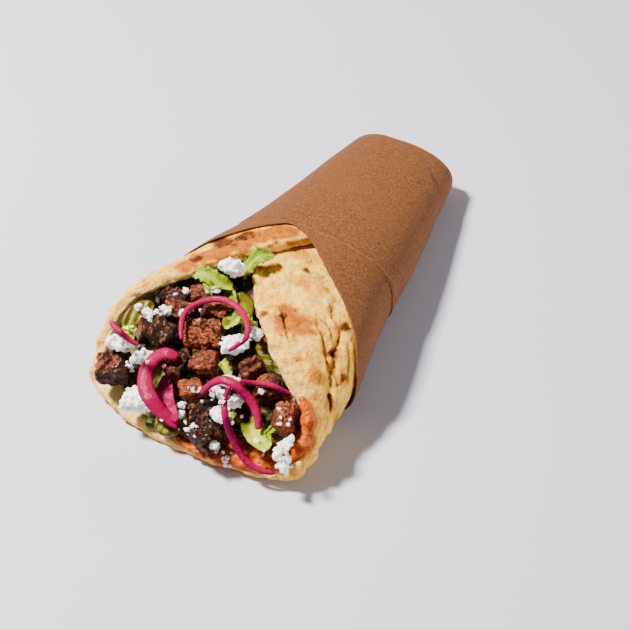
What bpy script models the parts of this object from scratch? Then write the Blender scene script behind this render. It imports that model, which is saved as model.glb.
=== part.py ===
"""Steak pita in its kraft paper sleeve, lying on its side with the filled mouth towards -Y.

One soft flatbread is rolled into a flattened cone, its left layer lapping over the right one, and a
two-layer paper sleeve holds the closed part. The filling shows in the slanted mouth.
Lengths below are millimetres and angles degrees; `MM` turns them into scene metres at the end.
"""

import math
import random

import bmesh
import bpy
from mathutils import Euler, Matrix, Vector, noise
from mathutils.bvhtree import BVHTree

MM = 0.001
GAP = 0.35  # air between neighbouring pieces
SEED = 7

# --- the rolled cone: stations along its length, from the lip (-Y) to the tail (+Y) ---
STATION_Y = (-105, -85, -50, -15, 20, 60, 100, 145)
CONE_HEIGHT = (20, 33, 44.5, 48.5, 43.5, 36.5, 28.5, 20)
CONE_CENTRE_X = (-6.5, -6.9, -10.0, -8.7, -9.2, -11.4, -15.5, -19.6)
CONE_HALF_WIDTH = (48.5, 57.7, 58.2, 49.4, 41.3, 35.8, 30.8, 25)
BELLY = 0.42  # height of the widest line, as a share of the cone's height
SIDE_POWER = 2.3
CROWN_POWER = 2.2
BASE_POWER = 3.2
FLAT_BASE = 0.5  # what is lower than this over the floor is pressed flat
SHOULDER = 3.6  # how far the left shoulder bulges beyond the plain section
SHOULDER_TURN, SHOULDER_TURN_WIDTH = -52, 27
SHOULDER_Y, SHOULDER_LENGTH = -58, 24

# --- flatbread ---
BREAD_THICKNESS = (4.8, 5.2, 4.4)  # at the lip, at the middle and at the tail
BREAD_THICKNESS_Y = (-105, 0, 130)
BREAD_COLUMNS = 45
BREAD_ROWS = 14
ROWS_TO_MOUTH = 1.5  # above 1, the rows lie closer together towards the mouth
EDGE_ROUNDING = 3.4
BREAD_LENGTH = 220  # mean length from the mouth's edge to the tail, which sets the rounding's rows
# The angles over which the right layer dives under the left one, at the open flap and at the roll.
LAP_Y = (-60, 5)
LAP_START, LAP_END = (320, 286), (380, 330)
# The free edge round the mouth: turn from the top (left negative) and place along the cone.
MOUTH_EDGE = (
    (16, 28), (4, 10), (-8, -9), (-18, -23), (-28, -34), (-37, -43), (-47, -50), (-57, -57),
    (-69, -64), (-78, -71), (-84, -77), (-93, -84), (-110, -88), (-128, -91), (-145, -95),
    (-160, -97), (-180, -99), (-203, -98), (-222, -97), (-240, -96), (-256, -94), (-267, -91),
    (-274, -87), (-281, -81), (-292, -77), (-304, -74), (-314, -71), (-325, -66), (-334, -61),
    (-342, -54), (-350, -45), (-358, -36), (-365, -25), (-371, -11), (-376, 6),
)
TAIL_EDGE_START, TAIL_EDGE_END = 28, -428
TAIL_Y_LEFT, TAIL_Y_RIGHT = 124, 131
DROOP_Y = (-72, -48)  # over this length the open end comes down by the thickness of the paper
# The deep crease down the folded-over flap.
CREASE = ((23, -9), (32, -20), (44, -31), (56, -42), (64, -54), (72, -63), (82, -69), (98, -72))
CREASE_DEPTH = (0, 1.2, 2.0, 2.6, 3.2, 3.6, 3.6, 2.4)
CREASE_WIDTH = 4.2
ROUND_RADIUS_SHARE = 0.85  # mean radius of the flattened roll, as a share of its half width

# --- paper sleeve ---
PAPER_THICKNESS = 0.55
PAPER_SLACK = 0.3  # extra air between bread and paper everywhere but on the floor
PAPER_COLUMNS = 36
PAPER_ROWS_FRONT, PAPER_ROWS_MIDDLE, PAPER_ROWS_END = 5, 6, 1
PAPER_STEP = 0.4  # run of the step between one layer of paper and two
PAPER_FRONT = (
    (-180, -46), (-130, -38), (-90, -26), (-60, -14), (-36, -4), (-22, 8), (-9, 15), (5, 8),
    (16, -3), (28, -11), (42, -18), (56, -26), (68, -34), (80, -41), (100, -46), (140, -49),
    (180, -46),
)
OUTER_LAYER_FRONT_Y = 17
OUTER_LAYER_END = (
    (-180, 127), (-27, 127), (12, 120), (31, 114), (49, 108), (63, 102), (78, 95), (100, 92),
    (140, 104), (180, 127),
)
PAPER_END_Y = 126
SHORTEST_FRONT, SHORTEST_MIDDLE, SHORTEST_END = 2, 20, 1  # of the sleeve's three parts

# --- the slanted bed that the filling lies on ---
MOUTH_SLOPE = math.atan(0.36)
MOUTH_LIP = Vector((-2, -98, 5))
BED_RISE = 1.0
LEFT_RISE, LEFT_RISE_X = 5.0, (-24, -50)  # the heap climbs the left wall
BED_DIP = 7.0  # the hollow in the middle of the mouth that the lower pieces lie in
BUMP_SIZE = 9
DIP_Y = (-92, -66, -34, -2)
CORE_FRONT_Y, CORE_END_Y = -86, 116
CORE_NOSE, CORE_NOSE_LENGTH = 13, 24  # how much narrower the core is on each side at its front end

ACROSS = Vector((1, 0, 0))
UP_SLOPE = Vector((0, math.cos(MOUTH_SLOPE), math.sin(MOUTH_SLOPE)))
OUT_OF_MOUTH = Vector((0, -math.sin(MOUTH_SLOPE), math.cos(MOUTH_SLOPE)))


# --- finishes: name, colour and roughness ---
BREAD = ("baked_crumb", (0.75, 0.55, 0.33), 0.8)
KRAFT = ("kraft_paper", (0.40, 0.20, 0.09), 0.75)
MEAT = ("seared_steak", (0.20, 0.07, 0.04), 0.5)
PICKLE = ("gherkin", (0.22, 0.24, 0.03), 0.25)
GREEN = ("lettuce_leaf", (0.35, 0.50, 0.06), 0.4)
CHEESE = ("feta_cheese", (0.85, 0.84, 0.78), 0.6)
ONION = ("pickled_onion", (0.45, 0.02, 0.13), 0.25)
SPREAD = ("pepper_spread", (0.85, 0.20, 0.01), 0.3)

# --- filling ---
SAUCE_TURNS = (55, 184)
SAUCE_FADE = (26, 50)  # degrees over which the layer thickens from its right and its left side
SAUCE_Y = (-98, -70, -20, 40)
SAUCE_THICKNESS = (5.0, 5.5, 3.0, 1.2)
SAUCE_FRONT_TURNS = (55, 72, 90, 110, 145, 184)
SAUCE_FRONT_Y = (-70, -76, -85, -91, -94, -96)
SAUCE_ROWS, SAUCE_COLUMNS = 12, 14
SPREAD_CLEARANCE = 0.9
SAUCE_LUMPS = 0.25
SAUCE_LUMP_TURN, SAUCE_LUMP_LENGTH = 9, 4.5  # size of a lump in degrees and along the cone
THINNEST_SPREAD = 0.5
CORE_ROWS, CORE_COLUMNS = 19, 28
CORE_BIAS = 1.35  # above 1, the core's rings lie closer together towards the mouth
CORE_CLEARANCE = 0.4
THINNEST_CORE = 0.6
SECOND_LAYER_TURN = 90  # this far from the top on both sides the bread may lie double
SECOND_LAYER_FADE = 22  # degrees over which the core makes room for that second layer
SPREAD_SIDE, SPREAD_END, CLEAR_OF_SPREAD = 12, 4, 1.9
LEAF_THICKNESS = 1.0
LEAF_WAVE, LEAF_RUFFLE, LEAF_CURL = 0.09, 1.0, 0.12
LEAF_WAVE_TURN, LEAF_RUFFLE_TURN, LEAF_RUFFLE_SLANT = 5, 11, 3  # radians along the leaf and over it
LEAF_EDGE_POWER = 1.5
LEAF_OUTLINE = (0.12, 0.8, 0.7)  # where on a half wave the outline starts, how far it runs, its power
CLEAR_OF_HEAP = 60
PUSH, PUSH_STEPS = 0.35, 90
LAYING_GAP = 0.21  # a piece is pushed on until this much air is round it
SIDE_PUSH = 0.55  # the rest of a push away from a neighbour is upwards
WALL_LIFT = 0.15
STRAND_STEPS = 16
STRAND_SIDES = 6
STRAND_TIP = 0.3  # width of a strip's tips, as a share of its middle
STRAND_OUTLINE = (0.05, 0.9, 0.6)
STRAND_STIFFNESS, STRAND_SAG = 3, 0.12
STRAND_REACH = 0.25  # how far ahead and back a strip feels what it lies on
PICKLE_SIDES = 12
PICKLE_WAVE = 0.04
PICKLE_RINGS = ((-0.5, 0.86), (-0.32, 1.0), (0.32, 1.0), (0.5, 0.86))  # height and width as shares
LEAF_ROWS, LEAF_COLUMNS = 7, 4
SMALL_CHUNK = 9.5  # a piece shorter than this is modelled with fewer faces
CHUNK_SHEAR, CHUNK_BALL, CHUNK_LUMP = 0.16, 1.25, 5  # lean of a cube, its rounding and its lump size
CHUNK_CORNER = 0.62  # 1 keeps the corners of the cube, 0 makes it a ball
CHUNK_ROUGHNESS, CRUMB_ROUGHNESS = 0.9, 0.5
NOISE_REACH = 50  # each chunk takes its lumps from another place of the noise
CRUMB_SIDES = (1, 0.72, 0.66)
CRUMB_RISE = 0.18  # how far a crumb's middle stands over what it lies on, as a share of its height

# Every piece in laying order: kind, across and up the mouth, height of its middle over the slope,
# its size, its turn about the way out of the mouth and its lean.
PIECES = (
    ("pickle", -12, 6, 4, (15, 15, 3.4), 20, 0),
    ("pickle", -28, 23, 4, (13, 12, 3.4), 60, 0),
    ("pickle", -49, 43, 14, (18, 9, 3.2), 67, 25),
    ("pickle", 31, 23, 2, (11, 7, 3.2), 70, 60),
    ("pickle", 18, 48, 9.5, (25, 10, 3.4), -21, 20),
    ("pickle", -11, 69, 6, (13, 16, 3.4), 20, 25),
    ("pickle", 0, 58, 6, (9, 6, 3), 10, 30),
    ("steak", -44, 62, 9, (12, 7, 8), 5, 0),
    ("steak", 1, 28, 4, (9, 10, 9), 10, 0),
    ("steak", 15, 19, 4, (9, 9, 9), 25, 0),
    ("steak", 1, 14, 5, (12, 8, 9), 30, 0),
    ("steak", 2, 37, 7, (7, 8, 8), 15, 0),
    ("steak", 33, 34, 7, (7, 7, 7), -10, 0),
    ("steak", -33, 53, 11, (14, 9, 9), 10, 0),
    ("steak", -29, 63, 10, (9, 8, 9), 30, 0),
    ("steak", -47, 17, 9, (15, 12, 11), 25, 0),
    ("steak", -21, 28, 9, (9, 11, 9), -5, 0),
    ("steak", -11, 31, 10, (11, 10, 10), 15, 0),
    ("steak", -7, 21, 9, (10, 9, 10), 35, 0),
    ("steak", 10, 38, 10, (8, 10, 10), -25, 0),
    ("steak", 25, 32, 12, (10.5, 9.5, 10), 30, 0),
    ("steak", 39, 22, 10, (9, 13, 11), 15, 0),
    ("steak", 7, 5, 8, (12, 11, 10), -12, 0),
    ("steak", -17, 58, 12, (13, 9, 10), 5, 0),
    ("steak", -32, 37, 14, (18, 10, 10), -8, 0),
    ("steak", -15, 45, 13, (17, 13, 12), 20, 0),
    ("lettuce", -14, 88, 12, (19, 10, 2), 57, 0),
    ("lettuce", -27, 70, 10, (20, 10, 2.5), 2, 0),
    ("lettuce", -48, 36, 13, (9, 6, 2), 60, 0),
    ("lettuce", -9, 52, 12, (11, 7, 3), 68, 0),
    ("lettuce", 5, 60, 8, (15, 7, 2), -24, 0),
    ("lettuce", -2, 33, 9, (10, 5, 2), -37, 0),
    ("lettuce", 30, 15, 7, (20, 12, 4), -30, 0),
    ("feta", -29, 8, 8, (14, 11, 9), 20, 0),
    ("feta", -1, 41, 13, (11, 9, 7), 30, 0),
    ("feta", 7, 32, 12, (10, 6, 6), 10, 0),
    ("feta", -36, 25, 13, (9, 6, 6), 30, 0),
    ("feta", -47, 24, 15, (9, 7, 6), 0, 0),
    ("feta", -22, 75, 15, (9, 8, 7), 0, 0),
    ("feta", 10, 10, 12, (8, 5, 4.5), 0, 0),
    ("feta", 15, 20, 11, (7, 6, 5), 20, 0),
    ("feta", 39, 10, 9, (8, 4.5, 4.5), 84, 0),
    ("feta", 45, 6, 8, (6.5, 4, 4.5), 90, 0),
    ("feta", 6, 53, 12, (7, 5, 5), 0, 0),
    ("feta", 43, 12, 11, (5, 4, 4), 80, 0),
    ("feta", 6, 22, 10, (9, 3.5, 3.5), -14, 0),
)
# Small crumbs of cheese, each joined to the piece it lies on: across, up and length.
CRUMBS = (
    (-49, 59, 5.0), (-33, 63, 4.5), (-25, 66, 4.5), (-49, 45, 3.2), (-41, 42, 4.5), (-37, 43, 3.5),
    (-35, 47, 4.5), (-28, 49, 3.2), (-39, 19, 3.0), (-12, 14, 4.5), (-9, 10, 4.0), (-2, 2, 3.2),
    (14, 1, 4.0), (31, 9, 2.6), (44, 4, 3.5), (-5, 19, 2.6), (24, 28, 2.4),
)
# Onion strips: width, thickness and the route across and up the mouth.
ONIONS = (
    (8.0, 3.0, ((-19, 29), (-26, 28), (-30, 21), (-27, 13), (-21, 8), (-13, 5), (-6, 4))),
    (3.0, 2.4, ((-18, 36), (-23, 44), (-24, 51), (-20, 57), (-14, 61), (-7, 61), (0, 58), (6, 53),
                (9, 48), (9, 43), (5, 38))),
    (4.8, 2.6, ((-1, 18), (2, 22), (8, 25), (13, 25), (18, 24), (23, 22), (27, 18), (29, 14))),
    (2.6, 2.0, ((16, 26), (20, 29), (25, 31), (31, 32), (35, 33))),
    (3.4, 2.4, ((13, 22), (12, 18), (15, 12), (18, 8), (22, 5), (27, 2), (34, 1), (40, 3))),
    (2.6, 2.0, ((-54, 33), (-49, 29), (-45, 27), (-40, 26), (-35, 26))),
)
MIDDLE_ACROSS, MIDDLE_UP = -8, 40  # where a piece that touches the bread is moved towards


def smooth_step(x):
    x = min(max(x, 0.0), 1.0)
    return x * x * (3 - 2 * x)


def curve_value(at, places, values):
    """A smooth curve through the values, level outside the first and last place."""
    if at <= places[0]:
        return values[0]
    if at >= places[-1]:
        return values[-1]
    i = max(k for k in range(len(places) - 1) if places[k] <= at)
    steps = range(len(places) - 1)
    slopes = [(values[k + 1] - values[k]) / (places[k + 1] - places[k]) for k in steps]

    def tangent(k):
        if k in (0, len(places) - 1):
            return slopes[min(k, len(slopes) - 1)]
        before, after = slopes[k - 1], slopes[k]
        return 0.0 if before * after <= 0 else 2 * before * after / (before + after)

    width = places[i + 1] - places[i]
    t = (at - places[i]) / width
    start, end = tangent(i) * width, tangent(i + 1) * width
    rise = values[i + 1] - values[i]
    return values[i] + t * (start + t * (3 * rise - 2 * start - end + t * (start + end - 2 * rise)))


def cone_point(turn, y, depth):
    """A point `depth` under the cone's skin; `turn` is in degrees from the top, right positive."""
    height = curve_value(y, STATION_Y, CONE_HEIGHT)
    half_width = curve_value(y, STATION_Y, CONE_HALF_WIDTH) - depth
    belly = height * BELLY
    s, c = math.sin(math.radians(turn)), math.cos(math.radians(turn))
    x = curve_value(y, STATION_Y, CONE_CENTRE_X)
    x += math.copysign(half_width * abs(s) ** (2 / SIDE_POWER), s)
    if c > 0:
        z = belly + (height - belly - depth) * c ** (2 / CROWN_POWER)
    else:
        z = belly - (belly - depth) * abs(c) ** (2 / BASE_POWER)
        z = depth if z < depth + FLAT_BASE else z
    around = ((turn + 180) % 360 - 180 - SHOULDER_TURN) / SHOULDER_TURN_WIDTH
    along = (y - SHOULDER_Y) / SHOULDER_LENGTH
    bulge = SHOULDER * math.exp(-around * around - along * along)
    outward = math.radians(SHOULDER_TURN)
    return Vector((x + bulge * math.sin(outward), y, z + bulge * math.cos(outward)))


def bread_thickness(y):
    return curve_value(y, BREAD_THICKNESS_Y, BREAD_THICKNESS)


def lap_depth(turn, y):
    """How far the bread's skin lies under the cone's skin: the right layer ends under the left one."""
    start = curve_value(y, LAP_Y, LAP_START)
    end = curve_value(y, LAP_Y, LAP_END)
    lap = smooth_step((-turn - start) / (end - start))
    return lap * (bread_thickness(y) + GAP)


def crease_depth(turn, y):
    """The depth of the flap's crease at a place on the bread, in millimetres."""
    around = turn % 360
    deepest = 0.0
    radius = curve_value(y, STATION_Y, CONE_HALF_WIDTH)
    legs = zip(CREASE, CREASE[1:], CREASE_DEPTH, CREASE_DEPTH[1:])
    for (turn_a, y_a), (turn_b, y_b), depth_a, depth_b in legs:
        a = Vector((math.radians(turn_a) * radius, y_a))
        b = Vector((math.radians(turn_b) * radius, y_b))
        here = Vector((math.radians(around) * radius, y))
        share = min(max((here - a).dot(b - a) / (b - a).length_squared, 0), 1)
        away = (here - a.lerp(b, share)).length
        depth = depth_a + (depth_b - depth_a) * share
        deepest = max(deepest, depth * math.exp(-((away / CREASE_WIDTH) ** 2)))
    return deepest if turn < -180 else 0.0


def grid_values(count, rounding_share, bias=1.0):
    """0 to 1 in `count` steps, with closer steps near both ends for a rounded edge."""
    ease = [rounding_share * (1 - math.cos(math.radians(a))) for a in (0, 35, 65)]
    middle = [rounding_share + (1 - 2 * rounding_share) * (i / count) ** bias for i in range(count + 1)]
    return ease + middle + [1 - e for e in reversed(ease)]


def edge_fullness(distance, rounding):
    """The share of the full thickness that a rounded edge has at this distance from it."""
    share = min(max(distance / rounding, 0.0), 1.0)
    return math.sqrt(max(1 - (1 - share) ** 2, 0.0))


def add_sheet(bm, top, bottom, wrap=False, pinch=False):
    """Closes a sheet between two point grids; pinched, both share the points of the border."""
    rows, columns = len(top), len(top[0])

    def on_border(r, c):
        return r in (0, rows - 1) or (not wrap and c in (0, columns - 1))

    upper = [[bm.verts.new(p) for p in row] for row in top]
    lower = []
    for r in range(rows):
        shared = [pinch and on_border(r, c) for c in range(columns)]
        lower.append([upper[r][c] if shared[c] else bm.verts.new(bottom[r][c]) for c in range(columns)])
    last = columns if wrap else columns - 1
    turned_corners = ((0, last - 1), (rows - 2, 0)) if pinch else ()
    for r in range(rows - 1):
        for c in range(last):
            n = (c + 1) % columns
            for side, flip in ((upper, False), (lower, True)):
                a, b, d, e = side[r][c], side[r][n], side[r + 1][n], side[r + 1][c]
                halves = ((a, b, e), (b, d, e)) if (r, c) in turned_corners else ((a, b, d), (a, d, e))
                for corners in halves:
                    bm.faces.new(corners[::-1] if flip else corners)
    if pinch:
        return
    for r, flip in ((0, True), (rows - 1, False)):
        for c in range(last):
            n = (c + 1) % columns
            a, b, d, e = upper[r][c], upper[r][n], lower[r][n], lower[r][c]
            for corners in ((a, b, d), (a, d, e)):
                bm.faces.new(corners[::-1] if flip else corners)


def add_tube(bm, rings):
    """A closed skin over rings of points, capped at both ends."""
    loops = [[bm.verts.new(p) for p in ring] for ring in rings]
    count = len(rings[0])
    for first, second in zip(loops, loops[1:]):
        for i in range(count):
            n = (i + 1) % count
            bm.faces.new((first[i], first[n], second[n]))
            bm.faces.new((first[i], second[n], second[i]))
    for loop, flip in ((loops[0], True), (loops[-1], False)):
        middle = bm.verts.new(sum((v.co for v in loop), Vector()) / count)
        for i in range(count):
            corners = (middle, loop[i], loop[(i + 1) % count])
            bm.faces.new(corners[::-1] if flip else corners)


def in_mouth(across, up, out):
    """A point on the slanted mouth: to the right, up the slope from the lip, and out of the food."""
    return MOUTH_LIP + ACROSS * across + UP_SLOPE * up + OUT_OF_MOUTH * out


def bed_height(x, y):
    """The height of the slanted bed over a place, before the bread's walls cut it off."""
    bumps = noise.noise(Vector((x, y, SEED)) / BUMP_SIZE)
    dip_start, dip_full, rise_start, rise_end = DIP_Y
    dip = smooth_step((y - dip_start) / (dip_full - dip_start))
    dip *= smooth_step((rise_end - y) / (rise_end - rise_start))
    rise_right, rise_left = LEFT_RISE_X
    climb = smooth_step((x - rise_right) / (rise_left - rise_right))
    slope = math.tan(MOUTH_SLOPE) * (y - MOUTH_LIP.y)
    hollow = climb * LEFT_RISE - BED_DIP * (1 - climb)
    return MOUTH_LIP.z + BED_RISE * bumps + slope + hollow * dip


def droop(y):
    """The open end of the bread comes down from the paper to what the food lies on."""
    return (GAP + PAPER_THICKNESS) * smooth_step((DROOP_Y[1] - y) / (DROOP_Y[1] - DROOP_Y[0]))


# --- pieces, each a function that returns its mesh in the wrap's own frame ---


def flatbread():
    """One sheet: columns run from the mouth's free edge to the tail, rows go round the roll."""
    lengths = [0.0]
    for (turn_a, y_a), (turn_b, y_b) in zip(MOUTH_EDGE, MOUTH_EDGE[1:]):
        radius = curve_value((y_a + y_b) / 2, STATION_Y, CONE_HALF_WIDTH) * ROUND_RADIUS_SHARE
        lengths.append(lengths[-1] + math.hypot(math.radians(turn_b - turn_a) * radius, y_b - y_a))
    edge_turns = [turn for turn, _ in MOUTH_EDGE]
    edge_ys = [y for _, y in MOUTH_EDGE]
    top, bottom = [], []
    for along in grid_values(BREAD_ROWS, EDGE_ROUNDING / BREAD_LENGTH, ROWS_TO_MOUTH):
        outer_row, inner_row = [], []
        for around in grid_values(BREAD_COLUMNS, EDGE_ROUNDING / lengths[-1]):
            edge_turn = curve_value(around * lengths[-1], lengths, edge_turns)
            edge_y = curve_value(around * lengths[-1], lengths, edge_ys)
            share = (edge_turns[0] - edge_turn) / (edge_turns[0] - edge_turns[-1])
            tail_turn = TAIL_EDGE_START + (TAIL_EDGE_END - TAIL_EDGE_START) * share
            right = smooth_step(0.5 + 0.5 * math.sin(math.radians(tail_turn)))
            tail_y = TAIL_Y_LEFT + (TAIL_Y_RIGHT - TAIL_Y_LEFT) * right
            turn = edge_turn + (tail_turn - edge_turn) * along
            y = edge_y + (tail_y - edge_y) * along
            full = edge_fullness(min(along, 1 - along) * (tail_y - edge_y), EDGE_ROUNDING)
            full *= edge_fullness(min(around, 1 - around) * lengths[-1], EDGE_ROUNDING)
            thickness = bread_thickness(y)
            skin = lap_depth(turn, y) + thickness * (1 - full) / 2
            dent = crease_depth(turn, y)
            lowered = Vector((0, 0, droop(y)))
            outer_row.append(cone_point(turn, y, skin + dent) - lowered)
            inner_row.append(cone_point(turn, y, skin + thickness * full) - lowered)
        top.append(outer_row)
        bottom.append(inner_row)
    bm = bmesh.new()
    add_sheet(bm, top, bottom, pinch=True)
    return bm


def paper_sleeve():
    """A sleeve of two layers: the outer one covers the middle, the inner one shows at both ends."""
    turns = [turn for turn, _ in PAPER_FRONT]
    fronts = [y for _, y in PAPER_FRONT]
    end_turns = [turn for turn, _ in OUTER_LAYER_END]
    ends = [y for _, y in OUTER_LAYER_END]
    floor = -(GAP + PAPER_THICKNESS)
    top, bottom = [], []
    for row in range(PAPER_ROWS_FRONT + PAPER_ROWS_MIDDLE + PAPER_ROWS_END + 3):
        outer_row, inner_row = [], []
        for column in range(PAPER_COLUMNS):
            turn = -180 + 360 * column / PAPER_COLUMNS
            front = curve_value(turn, turns, fronts)
            step = max(OUTER_LAYER_FRONT_Y, front + SHORTEST_FRONT)
            end = max(curve_value(turn, end_turns, ends), step + SHORTEST_MIDDLE)
            last = max(PAPER_END_Y, end + SHORTEST_END)
            y, doubled = paper_row(row, front, step, end, last)
            inside = -(GAP + PAPER_SLACK)
            inner = cone_point(turn, y, inside)
            outer = cone_point(turn, y, inside - PAPER_THICKNESS * (2 if doubled else 1))
            inner_row.append(Vector((inner.x, y, max(inner.z, floor + PAPER_THICKNESS))))
            outer_row.append(Vector((outer.x, y, max(outer.z, floor))))
        top.append(outer_row)
        bottom.append(inner_row)
    bm = bmesh.new()
    add_sheet(bm, top, bottom, wrap=True)
    return bm


def paper_row(row, front, step, end, last):
    """The place along the cone of one ring of the sleeve, and whether two layers lie there."""
    stops = (
        (front, step, PAPER_ROWS_FRONT, False),
        (step + PAPER_STEP, end, PAPER_ROWS_MIDDLE, True),
        (end + PAPER_STEP, last, PAPER_ROWS_END, False),
    )
    for start, stop, count, doubled in stops:
        if row <= count:
            return start + (stop - start) * row / count, doubled
        row -= count + 1
    raise ValueError("no such row")


def sauce_depth(turn, y):
    """Thickness of the spread on the bread's inner side: a thick smear right of the middle."""
    around = turn % 360
    rise = smooth_step((around - SAUCE_TURNS[0]) / SAUCE_FADE[0])
    rise *= smooth_step((SAUCE_TURNS[1] - around) / SAUCE_FADE[1])
    return curve_value(y, SAUCE_Y, SAUCE_THICKNESS) * rise


def spicy_spread():
    """A lumpy layer against the bread, thickest where it squeezes out at the right of the mouth."""
    top, bottom = [], []
    for row in range(SAUCE_ROWS + 1):
        along = row / SAUCE_ROWS
        outer_row, inner_row = [], []
        for column in range(SAUCE_COLUMNS + 1):
            share = column / SAUCE_COLUMNS
            turn = SAUCE_TURNS[0] + (SAUCE_TURNS[1] - SAUCE_TURNS[0]) * share
            front = curve_value(turn, SAUCE_FRONT_TURNS, SAUCE_FRONT_Y)
            y = front + (SAUCE_Y[-1] - front) * along
            bread = bread_thickness(y) + SPREAD_CLEARANCE + lap_depth(turn - 360, y)
            spot = Vector((turn / SAUCE_LUMP_TURN, y / SAUCE_LUMP_LENGTH, SEED))
            lumps = 1 + SAUCE_LUMPS * noise.noise(spot)
            thick = max(sauce_depth(turn, y) * lumps, THINNEST_SPREAD)
            lowered = Vector((0, 0, droop(y)))
            outer_row.append(cone_point(turn, y, bread) - lowered)
            inner_row.append(cone_point(turn, y, bread + thick) - lowered)
        top.append(outer_row)
        bottom.append(inner_row)
    bm = bmesh.new()
    add_sheet(bm, top, bottom, pinch=True)
    return bm


def core_point(turn, y):
    """The skin of the packed filling: clear of the bread, the spread and the slanted mouth."""
    around = (turn + 180) % 360 - 180
    layer = bread_thickness(y) + GAP
    depth = layer + CORE_CLEARANCE
    if abs(around) < SECOND_LAYER_TURN:
        depth += layer * smooth_step((SECOND_LAYER_TURN - abs(around)) / SECOND_LAYER_FADE)
    beside_spread = SAUCE_TURNS[0] - SPREAD_SIDE < turn % 360 < SAUCE_TURNS[1] + SPREAD_SIDE
    if beside_spread and y < SAUCE_Y[-1] + SPREAD_END:
        depth += sauce_depth(turn, y) * (1 + SAUCE_LUMPS) + CLEAR_OF_SPREAD
    point = cone_point(turn, y, depth)
    nose = CORE_NOSE * (1 - smooth_step((y - CORE_FRONT_Y) / CORE_NOSE_LENGTH))
    point.x -= nose * math.sin(math.radians(turn))
    point.z = min(point.z, max(bed_height(point.x, y), depth + THINNEST_CORE)) - droop(y)
    return point


def packed_filling():
    """The inside of the roll from the mouth to the tail, the bed of the pieces that show."""
    rings = []
    for row in range(CORE_ROWS + 1):
        y = CORE_FRONT_Y + (CORE_END_Y - CORE_FRONT_Y) * (row / CORE_ROWS) ** CORE_BIAS
        rings.append([core_point(-180 + 360 * i / CORE_COLUMNS, y) for i in range(CORE_COLUMNS)])
    bm = bmesh.new()
    add_tube(bm, rings)
    return bm


def chunk(size, rng, rough=CHUNK_ROUGHNESS):
    """A hacked cube: a subdivided cube pushed towards a rounded block and roughened."""
    cuts = 1 if size[0] < SMALL_CHUNK else 2
    bm = bmesh.new()
    bmesh.ops.create_cube(bm, size=2)
    bmesh.ops.subdivide_edges(bm, edges=bm.edges, cuts=cuts, use_grid_fill=True)
    shift = Vector([rng.uniform(-NOISE_REACH, NOISE_REACH) for _ in range(3)])
    shear = rng.uniform(-CHUNK_SHEAR, CHUNK_SHEAR)
    for v in bm.verts:
        spot = v.co.lerp(v.co.normalized() * CHUNK_BALL, 1 - CHUNK_CORNER)
        spot.x += shear * spot.z
        spot = Vector([half * side / 2 for half, side in zip(spot, size)])
        v.co = spot + noise.noise_vector(spot / CHUNK_LUMP + shift) * rough
    bmesh.ops.triangulate(bm, faces=bm.faces)
    return bm


def pickle_slice(size, rng):
    """A gherkin slice: a flat oval with rounded rims that waves a little, each slice its own way."""
    length, height, thickness = size
    start = rng.uniform(0, math.pi)
    bm = bmesh.new()
    rings = []
    for z, share in PICKLE_RINGS:
        ring = []
        for i in range(PICKLE_SIDES):
            a = 2 * math.pi * i / PICKLE_SIDES
            wave = 1 + PICKLE_WAVE * math.cos(3 * a + start)
            ring.append(Vector((length / 2 * share * wave * math.cos(a),
                                height / 2 * share * wave * math.sin(a), z * thickness)))
        rings.append(ring)
    add_tube(bm, rings)
    return bm


def half_wave(along, outline):
    """A width that swells and shrinks along a piece, 1 at most."""
    start, run, power = outline
    return math.sin(math.pi * (start + run * along)) ** power


def leaf(size, rng):
    """A thin ruffled leaf, folded along its rib."""
    length, width, fold = size
    waves = rng.uniform(0, 6)
    top, bottom = [], []
    for r in range(LEAF_ROWS + 1):
        upper_row, lower_row = [], []
        u = r / LEAF_ROWS
        spread = half_wave(u, LEAF_OUTLINE)
        for c in range(LEAF_COLUMNS + 1):
            v = 2 * c / LEAF_COLUMNS - 1
            edge = abs(v) ** LEAF_EDGE_POWER
            z = fold * abs(v) + LEAF_WAVE * length * math.sin(LEAF_WAVE_TURN * u + waves)
            z += LEAF_RUFFLE * edge * math.sin(LEAF_RUFFLE_TURN * u + LEAF_RUFFLE_SLANT * v + waves)
            z -= LEAF_CURL * length * (2 * u - 1) ** 2
            x = length * (u - 0.5)
            y = width / 2 * v * spread
            upper_row.append(Vector((x, y, z + LEAF_THICKNESS / 2)))
            lower_row.append(Vector((x, y, z - LEAF_THICKNESS / 2)))
        top.append(upper_row)
        bottom.append(lower_row)
    bm = bmesh.new()
    add_sheet(bm, top, bottom, pinch=True)
    return bm


def strand(path, width, thickness):
    """A flat onion strip along a path, tapered to both ends."""
    rings = []
    steps = len(path) - 1
    for i, here in enumerate(path):
        ahead = path[min(i + 1, steps)] - path[max(i - 1, 0)]
        side = ahead.cross(OUT_OF_MOUTH).normalized()
        out = side.cross(ahead).normalized()
        taper = STRAND_TIP + (1 - STRAND_TIP) * half_wave(i / steps, STRAND_OUTLINE)
        ring = []
        for k in range(STRAND_SIDES):
            a = 2 * math.pi * k / STRAND_SIDES
            edge = side * math.cos(a) * width + out * math.sin(a) * thickness
            ring.append(here + edge / 2 * taper)
        rings.append(ring)
    bm = bmesh.new()
    add_tube(bm, rings)
    return bm


SHAPES = {
    "pickle": (pickle_slice, PICKLE),
    "steak": (chunk, MEAT),
    "lettuce": (leaf, GREEN),
    "feta": (chunk, CHEESE),
}


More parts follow.
